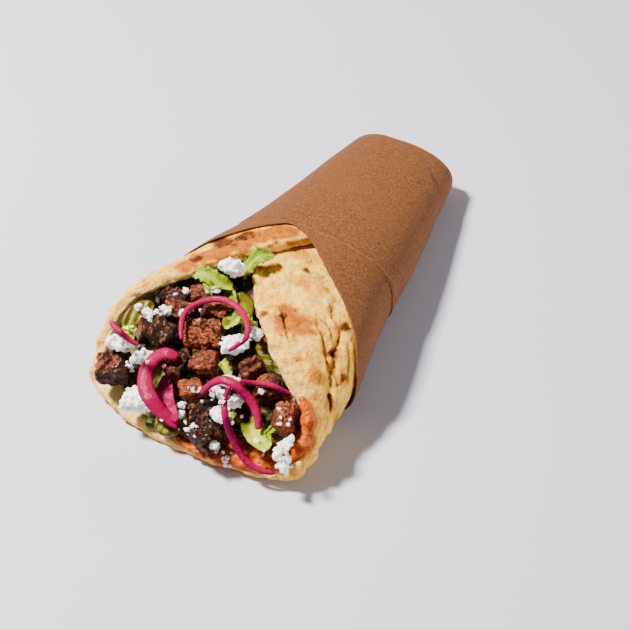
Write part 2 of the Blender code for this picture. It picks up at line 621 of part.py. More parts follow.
def smooth_route(route, steps):
    """Points of a round curve through the route's own points."""
    ends = [route[0], *route, route[-1]]
    points = []
    for i in range(steps + 1):
        at = min(i / steps * (len(route) - 1), len(route) - 1 - 1e-6)
        k, t = int(at), at - int(at)
        before, start, end, after = (Vector(ends[k + j]) for j in range(4))
        turn_in, turn_out = (end - before) / 2, (after - start) / 2
        points.append(
            start * (2 * t**3 - 3 * t**2 + 1) + turn_in * (t**3 - 2 * t**2 + t)
            + end * (3 * t**2 - 2 * t**3) + turn_out * (t**3 - t**2)
        )
    return points


def draped(heap, route, width, thickness):
    """Lays a route over the heap as a strip lies: it bends down a little into the hollows."""
    flat = smooth_route(route, STRAND_STEPS)
    rests = []
    for i, here in enumerate(flat):
        ahead = flat[min(i + 1, STRAND_STEPS)] - flat[max(i - 1, 0)]
        side = Vector((-ahead.y, ahead.x)).normalized() * width / 2
        reach = ahead * STRAND_REACH
        spots = (here, here + side, here - side, here + reach, here - reach)
        rests.append(max(heap.height_at(*spot) for spot in spots) + thickness / 2 + GAP)
    heights = list(rests)
    for _ in range(STRAND_STEPS * STRAND_STIFFNESS):
        for i in range(1, STRAND_STEPS):
            heights[i] = max(rests[i], (heights[i - 1] + heights[i + 1]) / 2 - STRAND_SAG)
    return [in_mouth(p[0], p[1], h) for p, h in zip(flat, heights)]


# --- laying the pieces on the bed ---


class Heap:
    """What lies in the mouth so far, as search trees, for laying the next piece clear of it."""

    def __init__(self):
        self.trees = {}
        self.middles = {}

    def add(self, name, bm, is_piece=True):
        self.trees[name] = BVHTree.FromBMesh(bm)
        if is_piece:
            self.middles[name] = centre_of(bm)

    def touches(self, bm, growth):
        grown = bm.copy()
        grown.normal_update()
        for v in grown.verts:
            v.co += v.normal * growth
        tree = BVHTree.FromBMesh(grown)
        grown.free()
        return [name for name, other in self.trees.items() if tree.overlap(other)]

    def height_at(self, across, up, reach=CLEAR_OF_HEAP):
        """How far out of the mouth the topmost surface lies over a place."""
        start = in_mouth(across, up, reach)
        best = None
        for tree in self.trees.values():
            hit = tree.ray_cast(start, -OUT_OF_MOUTH, 2 * reach)
            if hit[0] is not None and (best is None or hit[3] < best):
                best = hit[3]
        return reach - best if best is not None else 0.0

    def settle(self, bm):
        """Pushes the piece up and sideways until it is clear of all that lies there."""
        bmesh.ops.recalc_face_normals(bm, faces=bm.faces)
        for _ in range(PUSH_STEPS):
            middle = centre_of(bm)
            push = Vector()
            for name in self.touches(bm, LAYING_GAP):
                if name == "flatbread":
                    inward = in_mouth(MIDDLE_ACROSS, MIDDLE_UP, 0) - middle
                    inward -= OUT_OF_MOUTH * inward.dot(OUT_OF_MOUTH)
                    push += inward.normalized() + OUT_OF_MOUTH * WALL_LIFT
                elif name in self.middles:
                    away = middle - self.middles[name]
                    push += away.normalized() * SIDE_PUSH + OUT_OF_MOUTH * (1 - SIDE_PUSH)
                else:
                    push += OUT_OF_MOUTH
            if not push.length:
                return
            bmesh.ops.translate(bm, verts=bm.verts, vec=push.normalized() * PUSH)


def centre_of(bm):
    return sum((v.co for v in bm.verts), Vector()) / len(bm.verts)


def place(bm, across, up, out, turn, lean):
    """Puts a mesh modelled about its middle into the mouth: leans it, then turns it about the way out."""
    spin = Euler((math.radians(lean), 0, math.radians(turn)), "XYZ").to_matrix()
    frame = Matrix((ACROSS, UP_SLOPE, OUT_OF_MOUTH)).transposed()
    matrix = Matrix.Translation(in_mouth(across, up, out)) @ (frame @ spin).to_4x4()
    bmesh.ops.transform(bm, matrix=matrix, verts=bm.verts)
    return bm


def join_crumbs(heap, rng, pieces):
    """Sinks each small crumb a little into the piece under it and joins the two meshes."""
    for across, up, length in CRUMBS:
        start = in_mouth(across, up, CLEAR_OF_HEAP)
        hits = []
        for name, tree in heap.trees.items():
            place_hit = tree.ray_cast(start, -OUT_OF_MOUTH, 2 * CLEAR_OF_HEAP)
            if place_hit[0] is not None:
                hits.append((place_hit[3], name, place_hit[0]))
        _, host, spot = min(hits)
        if host not in pieces or host.startswith("feta"):
            continue
        size = [length * share for share in CRUMB_SIDES]
        crumb = chunk(size, rng, rough=CRUMB_ROUGHNESS)
        bmesh.ops.translate(crumb, verts=crumb.verts, vec=spot + OUT_OF_MOUTH * size[2] * CRUMB_RISE)
        if set(heap.touches(crumb, GAP)) <= {host}:
            pieces[host].append(crumb)
            heap.add(f"{host}_crumb_{len(pieces[host])}", crumb)
        else:
            crumb.free()


def lay_pieces(heap):
    """Lays every separate piece of the filling, the lowest first; gives (name, mesh, finish)."""
    rng = random.Random(SEED)
    laid = []

    def lay(name, bm, finish):
        heap.settle(bm)
        heap.add(name, bm)
        laid.append((name, bm, finish))

    counts = dict.fromkeys(SHAPES, 0)
    for kind, across, up, out, size, turn, lean in PIECES:
        counts[kind] += 1
        shape, finish = SHAPES[kind]
        lay(f"{kind}_{counts[kind]:02d}", place(shape(size, rng), across, up, out, turn, lean), finish)
    crumbs = {name: [] for name, _, _ in laid}
    join_crumbs(heap, rng, crumbs)
    for number, (width, thickness, route) in enumerate(ONIONS, 1):
        path = draped(heap, route, width, thickness)
        lay(f"onion_{number:02d}", strand(path, width, thickness), ONION)
    return laid, crumbs


def union_with(obj, crumbs):
    """One Boolean union joins all crumbs to their piece; the crumbs' own objects go."""
    helpers = bpy.data.collections.new("crumbs")
    bpy.context.scene.collection.children.link(helpers)
    for bm in crumbs:
        crumb = add_part(bm, "crumb", CHEESE)
        bpy.context.scene.collection.objects.unlink(crumb)
        helpers.objects.link(crumb)
    union = obj.modifiers.new("join crumbs", "BOOLEAN")
    union.operation = "UNION"
    union.operand_type = "COLLECTION"
    union.collection = helpers
    union.solver = "EXACT"
    with bpy.context.temp_override(object=obj, active_object=obj):
        bpy.ops.object.modifier_apply(modifier=union.name)
    for crumb in list(helpers.objects):
        bpy.data.objects.remove(crumb)
    bpy.data.collections.remove(helpers)


def add_part(bm, name, finish):
    """Closes the mesh, turns millimetres into metres and makes the named object."""
    bmesh.ops.recalc_face_normals(bm, faces=bm.faces)
    bmesh.ops.scale(bm, verts=bm.verts, vec=(MM, MM, MM))
    mesh = bpy.data.meshes.new(name)
    bm.to_mesh(mesh)
    bm.free()
    mesh.shade_smooth()
    material_name, colour, roughness = finish
    material = bpy.data.materials.get(material_name) or bpy.data.materials.new(material_name)
    material.use_nodes = True
    shader = material.node_tree.nodes["Principled BSDF"]
    shader.inputs["Base Color"].default_value = (*colour, 1)
    shader.inputs["Roughness"].default_value = roughness
    mesh.materials.append(material)
    obj = bpy.data.objects.new(name, mesh)
    bpy.context.scene.collection.objects.link(obj)
    return obj


def stand_on_origin(objects):
    """Moves every mesh so that the whole stands on z = 0, the middle of its box over the origin."""
    spots = [v.co for obj in objects for v in obj.data.vertices]
    low = Vector([min(spot[axis] for spot in spots) for axis in range(3)])
    high = Vector([max(spot[axis] for spot in spots) for axis in range(3)])
    shift = -(low + high) / 2
    shift.z = -low.z
    for obj in objects:
        obj.data.transform(Matrix.Translation(shift))


def main():
    noise.seed_set(SEED)
    for obj in list(bpy.data.objects):
        bpy.data.objects.remove(obj)
    heap = Heap()
    shells = (
        ("flatbread", flatbread(), BREAD),
        ("paper_sleeve", paper_sleeve(), KRAFT),
        ("packed_filling", packed_filling(), GREEN),
        ("spicy_spread", spicy_spread(), SPREAD),
    )
    for name, bm, _ in shells:
        heap.add(name, bm, is_piece=False)
    laid, crumbs = lay_pieces(heap)
    parts = []
    for name, bm, finish in (*shells, *laid):
        parts.append(add_part(bm, name, finish))
        if crumbs.get(name):
            union_with(parts[-1], crumbs[name])
    stand_on_origin(parts)


main()
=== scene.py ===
import math
import random
from functools import partial

import bmesh
import bpy
import numpy as np
from mathutils import Matrix, Vector, noise
from mathutils.bvhtree import BVHTree


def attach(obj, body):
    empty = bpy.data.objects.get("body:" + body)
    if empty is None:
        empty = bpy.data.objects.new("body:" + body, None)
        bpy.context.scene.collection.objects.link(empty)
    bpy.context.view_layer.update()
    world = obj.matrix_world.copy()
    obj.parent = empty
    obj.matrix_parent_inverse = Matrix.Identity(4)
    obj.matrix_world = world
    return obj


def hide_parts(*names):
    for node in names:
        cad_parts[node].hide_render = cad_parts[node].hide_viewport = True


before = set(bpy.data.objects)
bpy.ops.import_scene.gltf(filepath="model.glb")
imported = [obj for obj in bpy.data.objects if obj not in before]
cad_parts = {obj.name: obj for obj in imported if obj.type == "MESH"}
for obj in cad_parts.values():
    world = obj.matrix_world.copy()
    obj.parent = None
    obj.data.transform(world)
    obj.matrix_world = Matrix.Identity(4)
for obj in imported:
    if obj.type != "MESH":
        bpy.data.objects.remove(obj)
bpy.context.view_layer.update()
mm = 0.001
noise.seed_set(5)
chance = random.Random(11)  # every random choice is drawn from here, in turn


def webColour(text):
    # the shaders work in linear light, web colours don't
    values = [int(text[i : i + 2], 16) / 255 for i in (1, 3, 5)]
    return [v / 12.92 if v < 0.04045 else ((v + 0.055) / 1.055) ** 2.4 for v in values] + [1]


# the settings of a node where a line doesn't name them
usualSettings = {
    "MapRange": {"interpolation_type": "SMOOTHSTEP"},
    "Math": {"operation": "MULTIPLY"},
    "Mix": {"data_type": "RGBA"},
}


def addNode(tree, kind, *values, named=None, output=None, **settings):
    # values fill the sockets that the node shows, from the top down; the result is its output
    node = tree.nodes.new("ShaderNode" + kind)
    for name, value in {**usualSettings.get(kind, {}), **settings}.items():
        setattr(node, name, value)
    filled = list(zip((socket for socket in node.inputs if socket.enabled), values))
    filled += [(node.inputs[name], value) for name, value in (named or {}).items()]
    for socket, value in filled:
        if isinstance(value, bpy.types.NodeSocket):
            tree.links.new(value, socket)
        else:
            socket.default_value = webColour(value) if isinstance(value, str) else value
    return node.outputs[output] if output else next((s for s in node.outputs if s.enabled), None)


def newMaterial(name):
    material = bpy.data.materials.new(name)
    material.use_nodes = True
    material.node_tree.nodes.clear()
    add = partial(addNode, material.node_tree)
    return material, add, add("TexCoord", output="Object")


def addLayers(add, base, colours, *layers):
    # a layer is a colour that shows as a pattern goes from low to high, and how much of it at most
    for colour, pattern, low, high, most in layers:
        base = add("Mix", add("MapRange", pattern, low, high, 0.0, most), base, colours[colour])
    return base


def finishMaterial(material, add, inputs, bumps=()):
    # each bump is (height socket, depth in metres), the coarse one first
    for height, depth in bumps:
        bump = {"Height": height, "Distance": depth, "Strength": 1.0}
        if "Normal" in inputs:
            bump["Normal"] = inputs["Normal"]
        inputs["Normal"] = add("Bump", named=bump)
    add("OutputMaterial", add("BsdfPrincipled", named=inputs))
    return material


def pick(obj):
    for other in bpy.context.selected_objects:
        other.select_set(False)
    obj.select_set(True)
    bpy.context.view_layer.objects.active = obj


def modify(obj, kind, **settings):
    pick(obj)
    modifier = obj.modifiers.new(kind.lower(), kind)
    for name, value in settings.items():
        setattr(modifier, name, value)
    bpy.ops.object.modifier_apply(modifier=modifier.name)


def roughen(obj, size, depth, kind="CLOUDS"):
    # moves the surface in and out by a solid noise, blob size and depth in metres
    texture = bpy.data.textures.new(obj.name + "Relief", kind)
    texture.noise_scale = size
    modify(obj, "DISPLACE", texture=texture, texture_coords="LOCAL", strength=depth, mid_level=0.5)
    bpy.data.textures.remove(texture)


def newObject(name, data):
    obj = bpy.data.objects.new(name, data)
    bpy.context.scene.collection.objects.link(obj)
    return obj


def meshCopy(node, name):
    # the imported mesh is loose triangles, so the copy is merged first
    obj = newObject(name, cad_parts[node].data.copy())
    obj.data.materials.clear()
    pick(obj)
    bpy.ops.object.mode_set(mode="EDIT")
    bpy.ops.mesh.select_all(action="SELECT")
    bpy.ops.mesh.remove_doubles(threshold=0.01 * mm)
    flat = math.radians(50)
    bpy.ops.mesh.tris_convert_to_quads(face_threshold=flat, shape_threshold=flat)
    bpy.ops.object.mode_set(mode="OBJECT")
    return obj


def newPiece(name, shape):
    mesh = bpy.data.meshes.new(name)
    shape.to_mesh(mesh)
    shape.free()
    return newObject(name, mesh)


def points(obj, kind="co"):
    values = np.empty(len(obj.data.vertices) * 3)
    obj.data.vertices.foreach_get(kind, values)
    return values.reshape(-1, 3)


def normals(obj):
    return points(obj, "normal")


def movePoints(obj, values):
    obj.data.vertices.foreach_set("co", np.asarray(values, float).ravel())
    obj.data.update()


def paint(obj, name, values):
    # an attribute that a material reads
    values = np.asarray(values, float)
    kind = "FLOAT" if values.ndim == 1 else "FLOAT_VECTOR"
    layer = obj.data.attributes.new(name, kind, "POINT")
    layer.data.foreach_set("value" if kind == "FLOAT" else "vector", values.ravel())


def cloud(places, size, octaves=2, shift=0.0):
    # the same solid noise for both faces of a thin sheet, about -1 to 1
    offset = Vector((shift, shift * 0.7, -shift))
    return np.array([noise.fractal(Vector(p) / size + offset, 1.0, 2.0, octaves) for p in places])


def relief(places, size, depth, octaves=2, shift=0.0):
    return cloud(places, size, octaves, shift) * depth


def smooth(values, low, high):
    share = np.clip((values - low) / (high - low), 0, 1)
    return share * share * (3 - 2 * share)


def mainAxes(places):
    # places from the middle of a piece, and its longest, middle and shortest direction
    local = places - places.mean(0)
    axes = np.linalg.eigh(np.cov(local.T))[1]
    return local, axes[:, 2], axes[:, 1], axes[:, 0]


def dress(obj, material, slot, *nodes):
    pick(obj)
    bpy.ops.object.shade_smooth()
    obj.data.materials.clear()
    obj.data.materials.append(material)
    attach(obj, "root")
    if nodes:
        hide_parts(*nodes)
    print(obj.name, "done", len(obj.data.polygons), "faces")
    return obj


def buildEach(start, name, slot, material, shapeOne, looks=None):
    # shapes and dresses every node whose name starts so, one look of the list to each
    nodes = sorted(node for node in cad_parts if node.startswith(start))
    made = []
    for number, node in enumerate(nodes):
        obj = meshCopy(node, name + node[-2:])
        shapeOne(obj, *([number, looks[number]] if looks else []))
        made.append(dress(obj, material, slot, node))
    return made


# a grain or scrap: stretched by these, then dented, by shares of its radius
pebble = {"stretch": ((0.7, 1.2), (0.7, 1.2), (0.7, 1.1)), "dent": 0.45, "dents": 0.9}


def addLump(shape, place, radius):
    # by bmesh, because hundreds of them go into one mesh
    stretch = Matrix.Diagonal([chance.uniform(*ends) for ends in pebble["stretch"]] + [1])
    angle = chance.uniform(0, 6.28)
    axis = Vector((chance.uniform(-1, 1), chance.uniform(-1, 1), 1)).normalized()
    turned = Matrix.Rotation(angle, 4, axis) @ stretch
    made = bmesh.ops.create_icosphere(shape, subdivisions=2, radius=radius, matrix=turned)["verts"]
    offset = Vector((chance.uniform(-9, 9), chance.uniform(-9, 9), 0))
    for vertex in made:
        dent = noise.noise_vector(vertex.co / radius * pebble["dents"] + offset)
        vertex.co += dent * radius * pebble["dent"] + place


# the slanted plane that the filling lies on
mouthSlope = math.atan(0.36)
mouth = {
    "lip": Vector((0.0069, -0.1113, 0.0059)),
    "across": Vector((1, 0, 0)),
    "up": Vector((0, math.cos(mouthSlope), math.sin(mouthSlope))),
    "out": Vector((0, -math.sin(mouthSlope), math.cos(mouthSlope))),
}


def inMouth(across, up, out=0.0):
    # a place given in mm in the slanted plane of the mouth
    return mouth["lip"] + (mouth["across"] * across + mouth["up"] * up + mouth["out"] * out) * mm


# the photograph's camera, also used to find what shows at a pixel of the photograph
view = {
    "turn": 30.0,
    "height": 39.5,
    "distance": 0.85,
    "target": Vector((0.0089, -0.0133, 0.0119)),
    "lens": 105.7,
    "sensor": 36,
    "shiftX": 6 / 630,
    "shiftY": -4 / 630,
    "width": 630,
}


def viewAxes():
    turn, height = math.radians(view["turn"]), math.radians(view["height"])
    right = Vector((math.cos(turn), math.sin(turn), 0))
    level = math.cos(height)
    ahead = Vector((-math.sin(turn) * level, math.cos(turn) * level, -math.sin(height)))
    return right, right.cross(ahead), ahead


def seenAt(tree, x, y):
    # the surface that shows at this pixel of the photograph, and its normal
    right, up, ahead = viewAxes()
    middle = view["width"] / 2
    aside = (x - middle) / view["width"] + view["shiftX"]
    above = (middle - y) / view["width"] + view["shiftY"]
    ray = ahead * view["lens"] / view["sensor"] + right * aside + up * above
    return tree.ray_cast(view["target"] - ahead * view["distance"], ray.normalized())[:2]


def onSurface(tree, route):
    # the places that show at the pixels of a route
    return [spot for spot in (seenAt(tree, x, y)[0] for x, y in route) if spot is not None]


def treeOf(objects):
    # for rays and nearest places on several pieces at once
    vertices, faces = [], []
    for obj in objects:
        start = len(vertices)
        vertices += [v.co.copy() for v in obj.data.vertices]
        faces += [[i + start for i in p.vertices] for p in obj.data.polygons]
    return BVHTree.FromPolygons(vertices, faces)


# the flatbread: its colours, then sizes in metres; a pair is the size and the depth of a relief
bread = {
    "inside": "#F7CE84",
    "cream": "#EFA218",
    "paleCream": "#F7D060",
    "greyCream": "#A88046",
    "amber": "#D07E12",
    "golden": "#A0500A",
    "brown": "#70300C",
    "toast": "#3C1606",
    "char": "#28120A",
    "crumb": "#EEAA44",
    "coarse": 0.009,
    "middle": 0.0034,
    "fine": 0.0009,
    "fleckSize": 0.0019,
    "finerBeforeY": 0.030,
    "coreX": ((-0.11, 0.12), (0.002, -0.006)),
    "coreZ": ((-0.11, 0.0, 0.12), (0.010, 0.024, 0.014)),
    "waves": (0.018, 0.0005),
    "blisters": (0.0055, 0.0010),
    "bubbles": (0.010, 0.0022),
    "crags": (0.0024, 0.00035),
    "clearOfPaper": (0.0015, 0.007),
}
# what the oven left on the bread: pixel of the photograph, radius and depth in mm, how golden, how dark
breadSpots = [
    # the rolled band over the filling
    (224, 243, 6.4, 0.1, 1.0, 0.66), (218, 241, 3.8, 0.1, 1.0, 1.0), (246, 235, 5.4, 0.1, 1.0, 0.62),
    (240.5, 239, 3.8, 0.1, 1.0, 1.0), (197.5, 259, 3.4, 0.1, 1.0, 0.9), (262, 236, 5.0, 0.0, 0.8, 0.0),
    (276, 232, 5.0, 0.0, 0.6, 0.0), (214, 253, 5.0, 0.0, 1.0, 0.0), (233, 246, 7.0, 0.0, 1.0, 0.0),
    (206, 256, 5.0, 0.0, 0.8, 0.0), (253, 238, 4.0, 0.0, 0.8, 0.1), (186, 262, 2.2, 0.0, 0.5, 0.0),
    (144, 273, 2.6, 0.0, 1.0, 0.45), (136, 281, 3.6, 0.0, 0.9, 0.1), (143, 280, 2.4, 0.0, 0.8, 0.2),
    (122, 290, 2.2, 0.0, 0.9, 0.5), (112, 304, 2.0, 0.0, 0.6, 0.2), (98, 332, 1.8, 0.0, 0.5, 0.1),
    (104, 318, 2.4, 0.0, 0.4, 0.0), (101, 345, 2.0, 0.0, 0.6, 0.15), (266, 232, 3.0, 0.0, 0.5, 0.0),
    (283, 228, 4.0, 0.0, 0.6, 0.0), (137, 299, 5.0, 0.0, 0.7, 0.0), (128, 308, 3.4, 0.0, 0.5, 0.0),
    (276, 242, 0.9, 0.3, 0.6, 0.6),
    # the folded flap
    (300, 253, 4.0, 0.0, 0.7, 0.0), (306, 270, 1.8, 0.3, 0.9, 0.75), (302, 283, 4.4, 0.0, 0.55, 0.0),
    (265, 268, 1.8, 0.0, 0.5, 0.0), (273.5, 282, 0.9, 0.5, 0.6, 0.75), (265, 313, 1.5, 0.2, 0.9, 0.55),
    (270.5, 306, 1.3, 0.0, 0.8, 0.3), (272, 297, 1.2, 0.0, 0.6, 0.1), (323, 289, 2.0, 0.0, 0.7, 0.1),
    (283.5, 315, 2.0, 1.8, 1.0, 1.0), (291, 322, 6.5, -0.2, 1.0, 0.0), (301, 330, 4.0, 0.0, 0.7, 0.0),
    (284, 309, 3.6, 0.0, 0.8, 0.15), (297, 312, 0.8, 0.4, 0.5, 0.6), (280.5, 336.5, 0.9, 0.2, 0.6, 0.8),
    (275.5, 339, 0.7, 0.2, 0.4, 0.65), (298, 359, 1.7, 0.2, 0.9, 0.3), (307, 353, 0.6, 0.1, 0.7, 0.4),
    (317, 378, 3.6, 0.0, 0.7, 0.1), (319, 396, 3.0, 0.0, 0.4, 0.0), (345, 327, 3.0, 0.2, 1.0, 0.9),
    (344, 377, 2.0, 0.3, 0.9, 0.8), (333.5, 354, 2.4, 2.0, 0.6, 0.8), (315, 300, 5.0, -0.5, 0.0, 0.0),
    (306, 340, 6.0, -0.6, 0.0, 0.0), (290, 285, 5.0, -0.4, 0.0, 0.0), (327, 330, 4.0, -0.6, 0.2, 0.0),
    (349, 348, 4.0, -0.6, 0.0, 0.0), (312, 365, 4.0, -0.5, 0.1, 0.0),
    # under the flap and on the lip
    (329, 436, 3.6, 0.0, 0.9, 0.3), (322, 446, 2.6, 0.0, 0.7, 0.15), (336, 420, 2.6, 0.0, 0.8, 0.2),
    (152, 437, 1.4, 0.0, 0.6, 0.1), (116, 410, 1.6, 0.0, 0.5, 0.1), (146, 436, 2.4, 0.0, 0.4, 0.0),
]
# long marks and creases: the pixels they run through, half width and depth in mm, how golden, how dark; the
# dark in the creases and the slot under the flap is partly scorch, partly painted shade
breadMarks = [
    (((186, 265), (214, 253), (232, 246), (256, 238), (286, 232)), 6.0, 0.0, 0.9, 0.0),
    (((94, 350), (97, 335), (104, 317), (111, 304), (121, 292), (134, 280), (148, 270)), 2.4, 0.0, 1.0, 0.4),
    (((148, 270), (166, 260), (184, 252), (204, 244)), 1.2, 0.0, 0.7, 0.2),
    (((284, 313), (285, 325), (287, 338)), 0.6, 0.9, 0.8, 0.6),
    (((317, 317), (322, 334), (326, 349), (330, 368), (332, 386)), 1.6, 1.6, 0.3, 0.3),
    (((322, 278), (330, 290), (337, 299)), 0.8, 0.7, 0.2, 0.2),
    (
        ((332, 305), (334, 316), (341, 331), (340, 340), (334, 354), (335, 368), (338, 384)),
        1.7, 1.7, 0.3, 0.35,
    ),
    (((326, 320), (331, 338), (338, 352)), 0.8, 1.1, 0.2, 0.3),
    (((330, 394), (331, 410), (334, 426)), 1.1, 1.6, 0.7, 0.9),
    (((347, 344), (349, 362), (347, 380)), 1.0, 0.9, 0.4, 0.3),
    (((193, 262), (190, 256)), 0.6, 0.2, 0.5, 0.3),
    (((261, 232), (265, 243)), 0.6, 0.4, 0.5, 0.35),
    (((276, 236), (277, 244)), 0.5, 0.5, 0.5, 0.5),
]


def besideRoute(places, route):
    # how far places lie from a bent line, with a minus on one side of it
    best = np.full(len(places), 1.0)
    for start, end in zip(route[:-1], route[1:]):
        start, along = np.array(start), np.array(end) - np.array(start)
        share = np.clip((places - start) @ along / (along @ along), 0, 1)
        near = places - start - share[:, None] * along
        above = near @ np.cross(along, (0, 0, 1)) > 0
        away = np.linalg.norm(near, axis=1) * np.where(above, 1, -1)
        best = np.where(np.abs(away) < np.abs(best), away, best)
    return best


def buildBreadMaterial():
    # oven-baked flatbread: matt cream skin, golden where it rose, scorch marks where it touched the hot
    # stone, and painted shade in its creases
    material, add, place = newMaterial("ovenBakedFlatbread")
    wide = add("TexNoise", place, 1 / bread["coarse"], 4, 0.6)
    middle = add("TexNoise", place, 1 / bread["middle"], 4, 0.65)
    fine = add("TexNoise", place, 1 / bread["fine"], 4, 0.65)
    outside, rim, golden, toast = (
        add("Attribute", output="Fac", attribute_name=name) for name in ("outside", "rim", "golden", "toast")
    )
    skin = addLayers(
        add, bread["cream"], bread,
        ("paleCream", middle, 0.36, 0.66, 1.0),
        ("greyCream", wide, 0.5, 0.7, 0.6),
        ("greyCream", fine, 0.42, 0.22, 0.35),
    )
    base = add("Mix", outside, bread["inside"], skin)
    base = add("Mix", add("Math", rim, 0.6), base, bread["crumb"])
    # the golden areas have ragged edges
    ragged = add("Math", add("Math", middle, 0.5, operation="SUBTRACT"), 1.2)
    patchy = add("Math", golden, ragged, operation="ADD")
    ragged = add("Math", add("Math", fine, 0.5, operation="SUBTRACT"), 0.5)
    patchy = add("Math", patchy, ragged, operation="ADD")
    base = addLayers(
        add, base, bread,
        ("amber", patchy, 0.12, 0.55, 0.85),
        ("golden", patchy, 0.45, 1.1, 0.95),
        ("brown", patchy, 1.0, 1.5, 0.8),
    )
    # flecks where the skin touched the hot stone
    flecks = add("TexNoise", place, 1 / bread["fleckSize"], 3, 0.55, 2.0, 0.6)
    flecks = add("Math", add("MapRange", flecks, 0.68, 0.78), add("Math", outside, 0.8))
    base = add("Mix", flecks, base, bread["brown"])
    # painted shade: this mask darkens the scorch marks and also the creases and the slot under the flap
    scorched = add("Math", toast, add("Math", middle, 0.7), operation="ADD")
    scorched = add("Math", add("MapRange", scorched, 0.55, 0.95), add("MapRange", fine, 0.6, 0.4, 0.6, 1.0))
    base = add("Mix", scorched, base, bread["toast"])
    burnt = add("Math", toast, add("Math", fine, 0.5), operation="ADD")
    base = add("Mix", add("MapRange", burnt, 1.05, 1.4), base, bread["char"])
    look = {
        "Base Color": base,
        "Roughness": add("MapRange", middle, 0.3, 0.7, 0.62, 0.8),
        "Subsurface Weight": 0.04,
        "Subsurface Radius": (0.003, 0.0012, 0.0005),
        "Subsurface Scale": 1.0,
        "Specular IOR Level": 0.1,
    }
    return finishMaterial(material, add, look, [(wide, 0.0022), (middle, 0.0017), (fine, 0.0005)])


def buildFlatbread():
    obj = meshCopy("flatbread", "bakedFlatbread")
    modify(obj, "SUBSURF", levels=2)
    # finer faces where the marks and the mouth are
    pick(obj)
    bpy.ops.object.mode_set(mode="EDIT")
    bpy.ops.mesh.select_mode(type="FACE")
    shape = bmesh.from_edit_mesh(obj.data)
    for face in shape.faces:
        face.select = face.calc_center_median().y < bread["finerBeforeY"]
    bmesh.update_edit_mesh(obj.data)
    bpy.ops.mesh.subdivide(number_cuts=1, smoothness=0.6)
    bpy.ops.object.mode_set(mode="OBJECT")
    places = points(obj)
    directions = normals(obj)
    surface = treeOf([obj])
    # the line through the middle of the roll tells the outside of the bread from its inside
    y, z = places.T[1:]
    radial = places - np.stack([np.interp(y, *bread["coreX"]), y, np.interp(y, *bread["coreZ"])], 1)
    radial[:, 1] = 0
    radial /= np.linalg.norm(radial, axis=1)[:, None]
    outside = smooth((directions * radial).sum(1), -0.3, 0.3)
    rim = smooth(-directions[:, 1], 0.45, 0.8) * smooth(-y, 0.0, 0.05)
    golden, toast, depth = np.zeros((3, len(places)))
    # no spot is round
    wobble = 1 + 0.35 * cloud(places, 0.0022, 2, 3.0) + 0.5 * cloud(places, 0.006, 2, 40.0)
    for pixelX, pixelY, radius, pit, gold, dark in breadSpots:
        spot = seenAt(surface, pixelX, pixelY)[0]
        if spot is None:
            continue
        away = np.linalg.norm(places - np.array(spot), axis=1) / (radius * mm) * wobble
        golden += gold * (1 - smooth(away, 0.5, 1.8))
        toast = np.maximum(toast, dark * (1 - smooth(away, 0.45, 1.25)))
        depth += pit * mm * (1 - smooth(away, 0.2, 1.0))
    # the marks paint scorch, and painted shade into the creases and the slot under the flap
    for route, radius, pit, gold, dark in breadMarks:
        corners = onSurface(surface, route)
        if len(corners) < 2:
            continue
        away = np.abs(besideRoute(places, corners)) / (radius * mm) * wobble
        golden += gold * (1 - smooth(away, 0.5, 1.6))
        toast = np.maximum(toast, dark * (1 - smooth(away, 0.3, 1.1)))
        depth += pit * mm * (1 - smooth(away, 0.1, 1.0))
    # waves and blisters are the same on both faces, bubbles rise outside
    wave = relief(places, *bread["waves"])
    blisters = relief(places, *bread["blisters"], 2, 9.0)
    size, height = bread["bubbles"]
    blisters += np.maximum(cloud(places, size, 1, 21.0) - 0.1, 0) * height * outside
    crags = relief(places, *bread["crags"], 2, 15.0) * rim
    # the bread stays smooth where the paper holds it
    held = treeOf([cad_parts["paper_sleeve"]])
    toPaper = np.array([held.find_nearest(Vector(p), 0.02)[3] or 0.02 for p in places])
    free = smooth(toPaper, *bread["clearOfPaper"]) * (1 - smooth(y, -0.03, 0.01))
    moved = places + radial * (wave * free)[:, None]
    moved += directions * ((blisters + crags) * free - depth * outside)[:, None]
    # nothing sinks into what it lies on
    moved[:, 2] = np.maximum(moved[:, 2], np.minimum(z, 0.0005))
    movePoints(obj, moved)
    golden += 0.3 * smooth(cloud(places, 0.009, 3, 30.0), 0.15, 0.6)
    paint(obj, "outside", outside)
    paint(obj, "rim", rim)
    paint(obj, "golden", np.clip(golden * outside, 0, 1))
    paint(obj, "toast", np.clip(toast * outside, 0, 1))
    return dress(obj, buildBreadMaterial(), "baked_crumb", "flatbread")


# the kraft paper sleeve: colours, then the size and depth of its relief in metres
paper = {
    "kraft": "#6C4020",
    "shade": "#523018",
    "fibre": "#8A5C34",
    # edge: the painted highlight along the cut edge of the upper sheet
    "edge": "#9A6C42",
    "crumples": (0.022, 0.0006),
    "ripples": (0.006, 0.00007),
    "overlap": 0.0003,
}
# the edge of the upper sheet where the paper overlaps itself: pixels it runs through
paperEdge = ((300, 224), (325, 235), (349, 246), (367, 257), (382, 269), (391, 280), (396, 292))


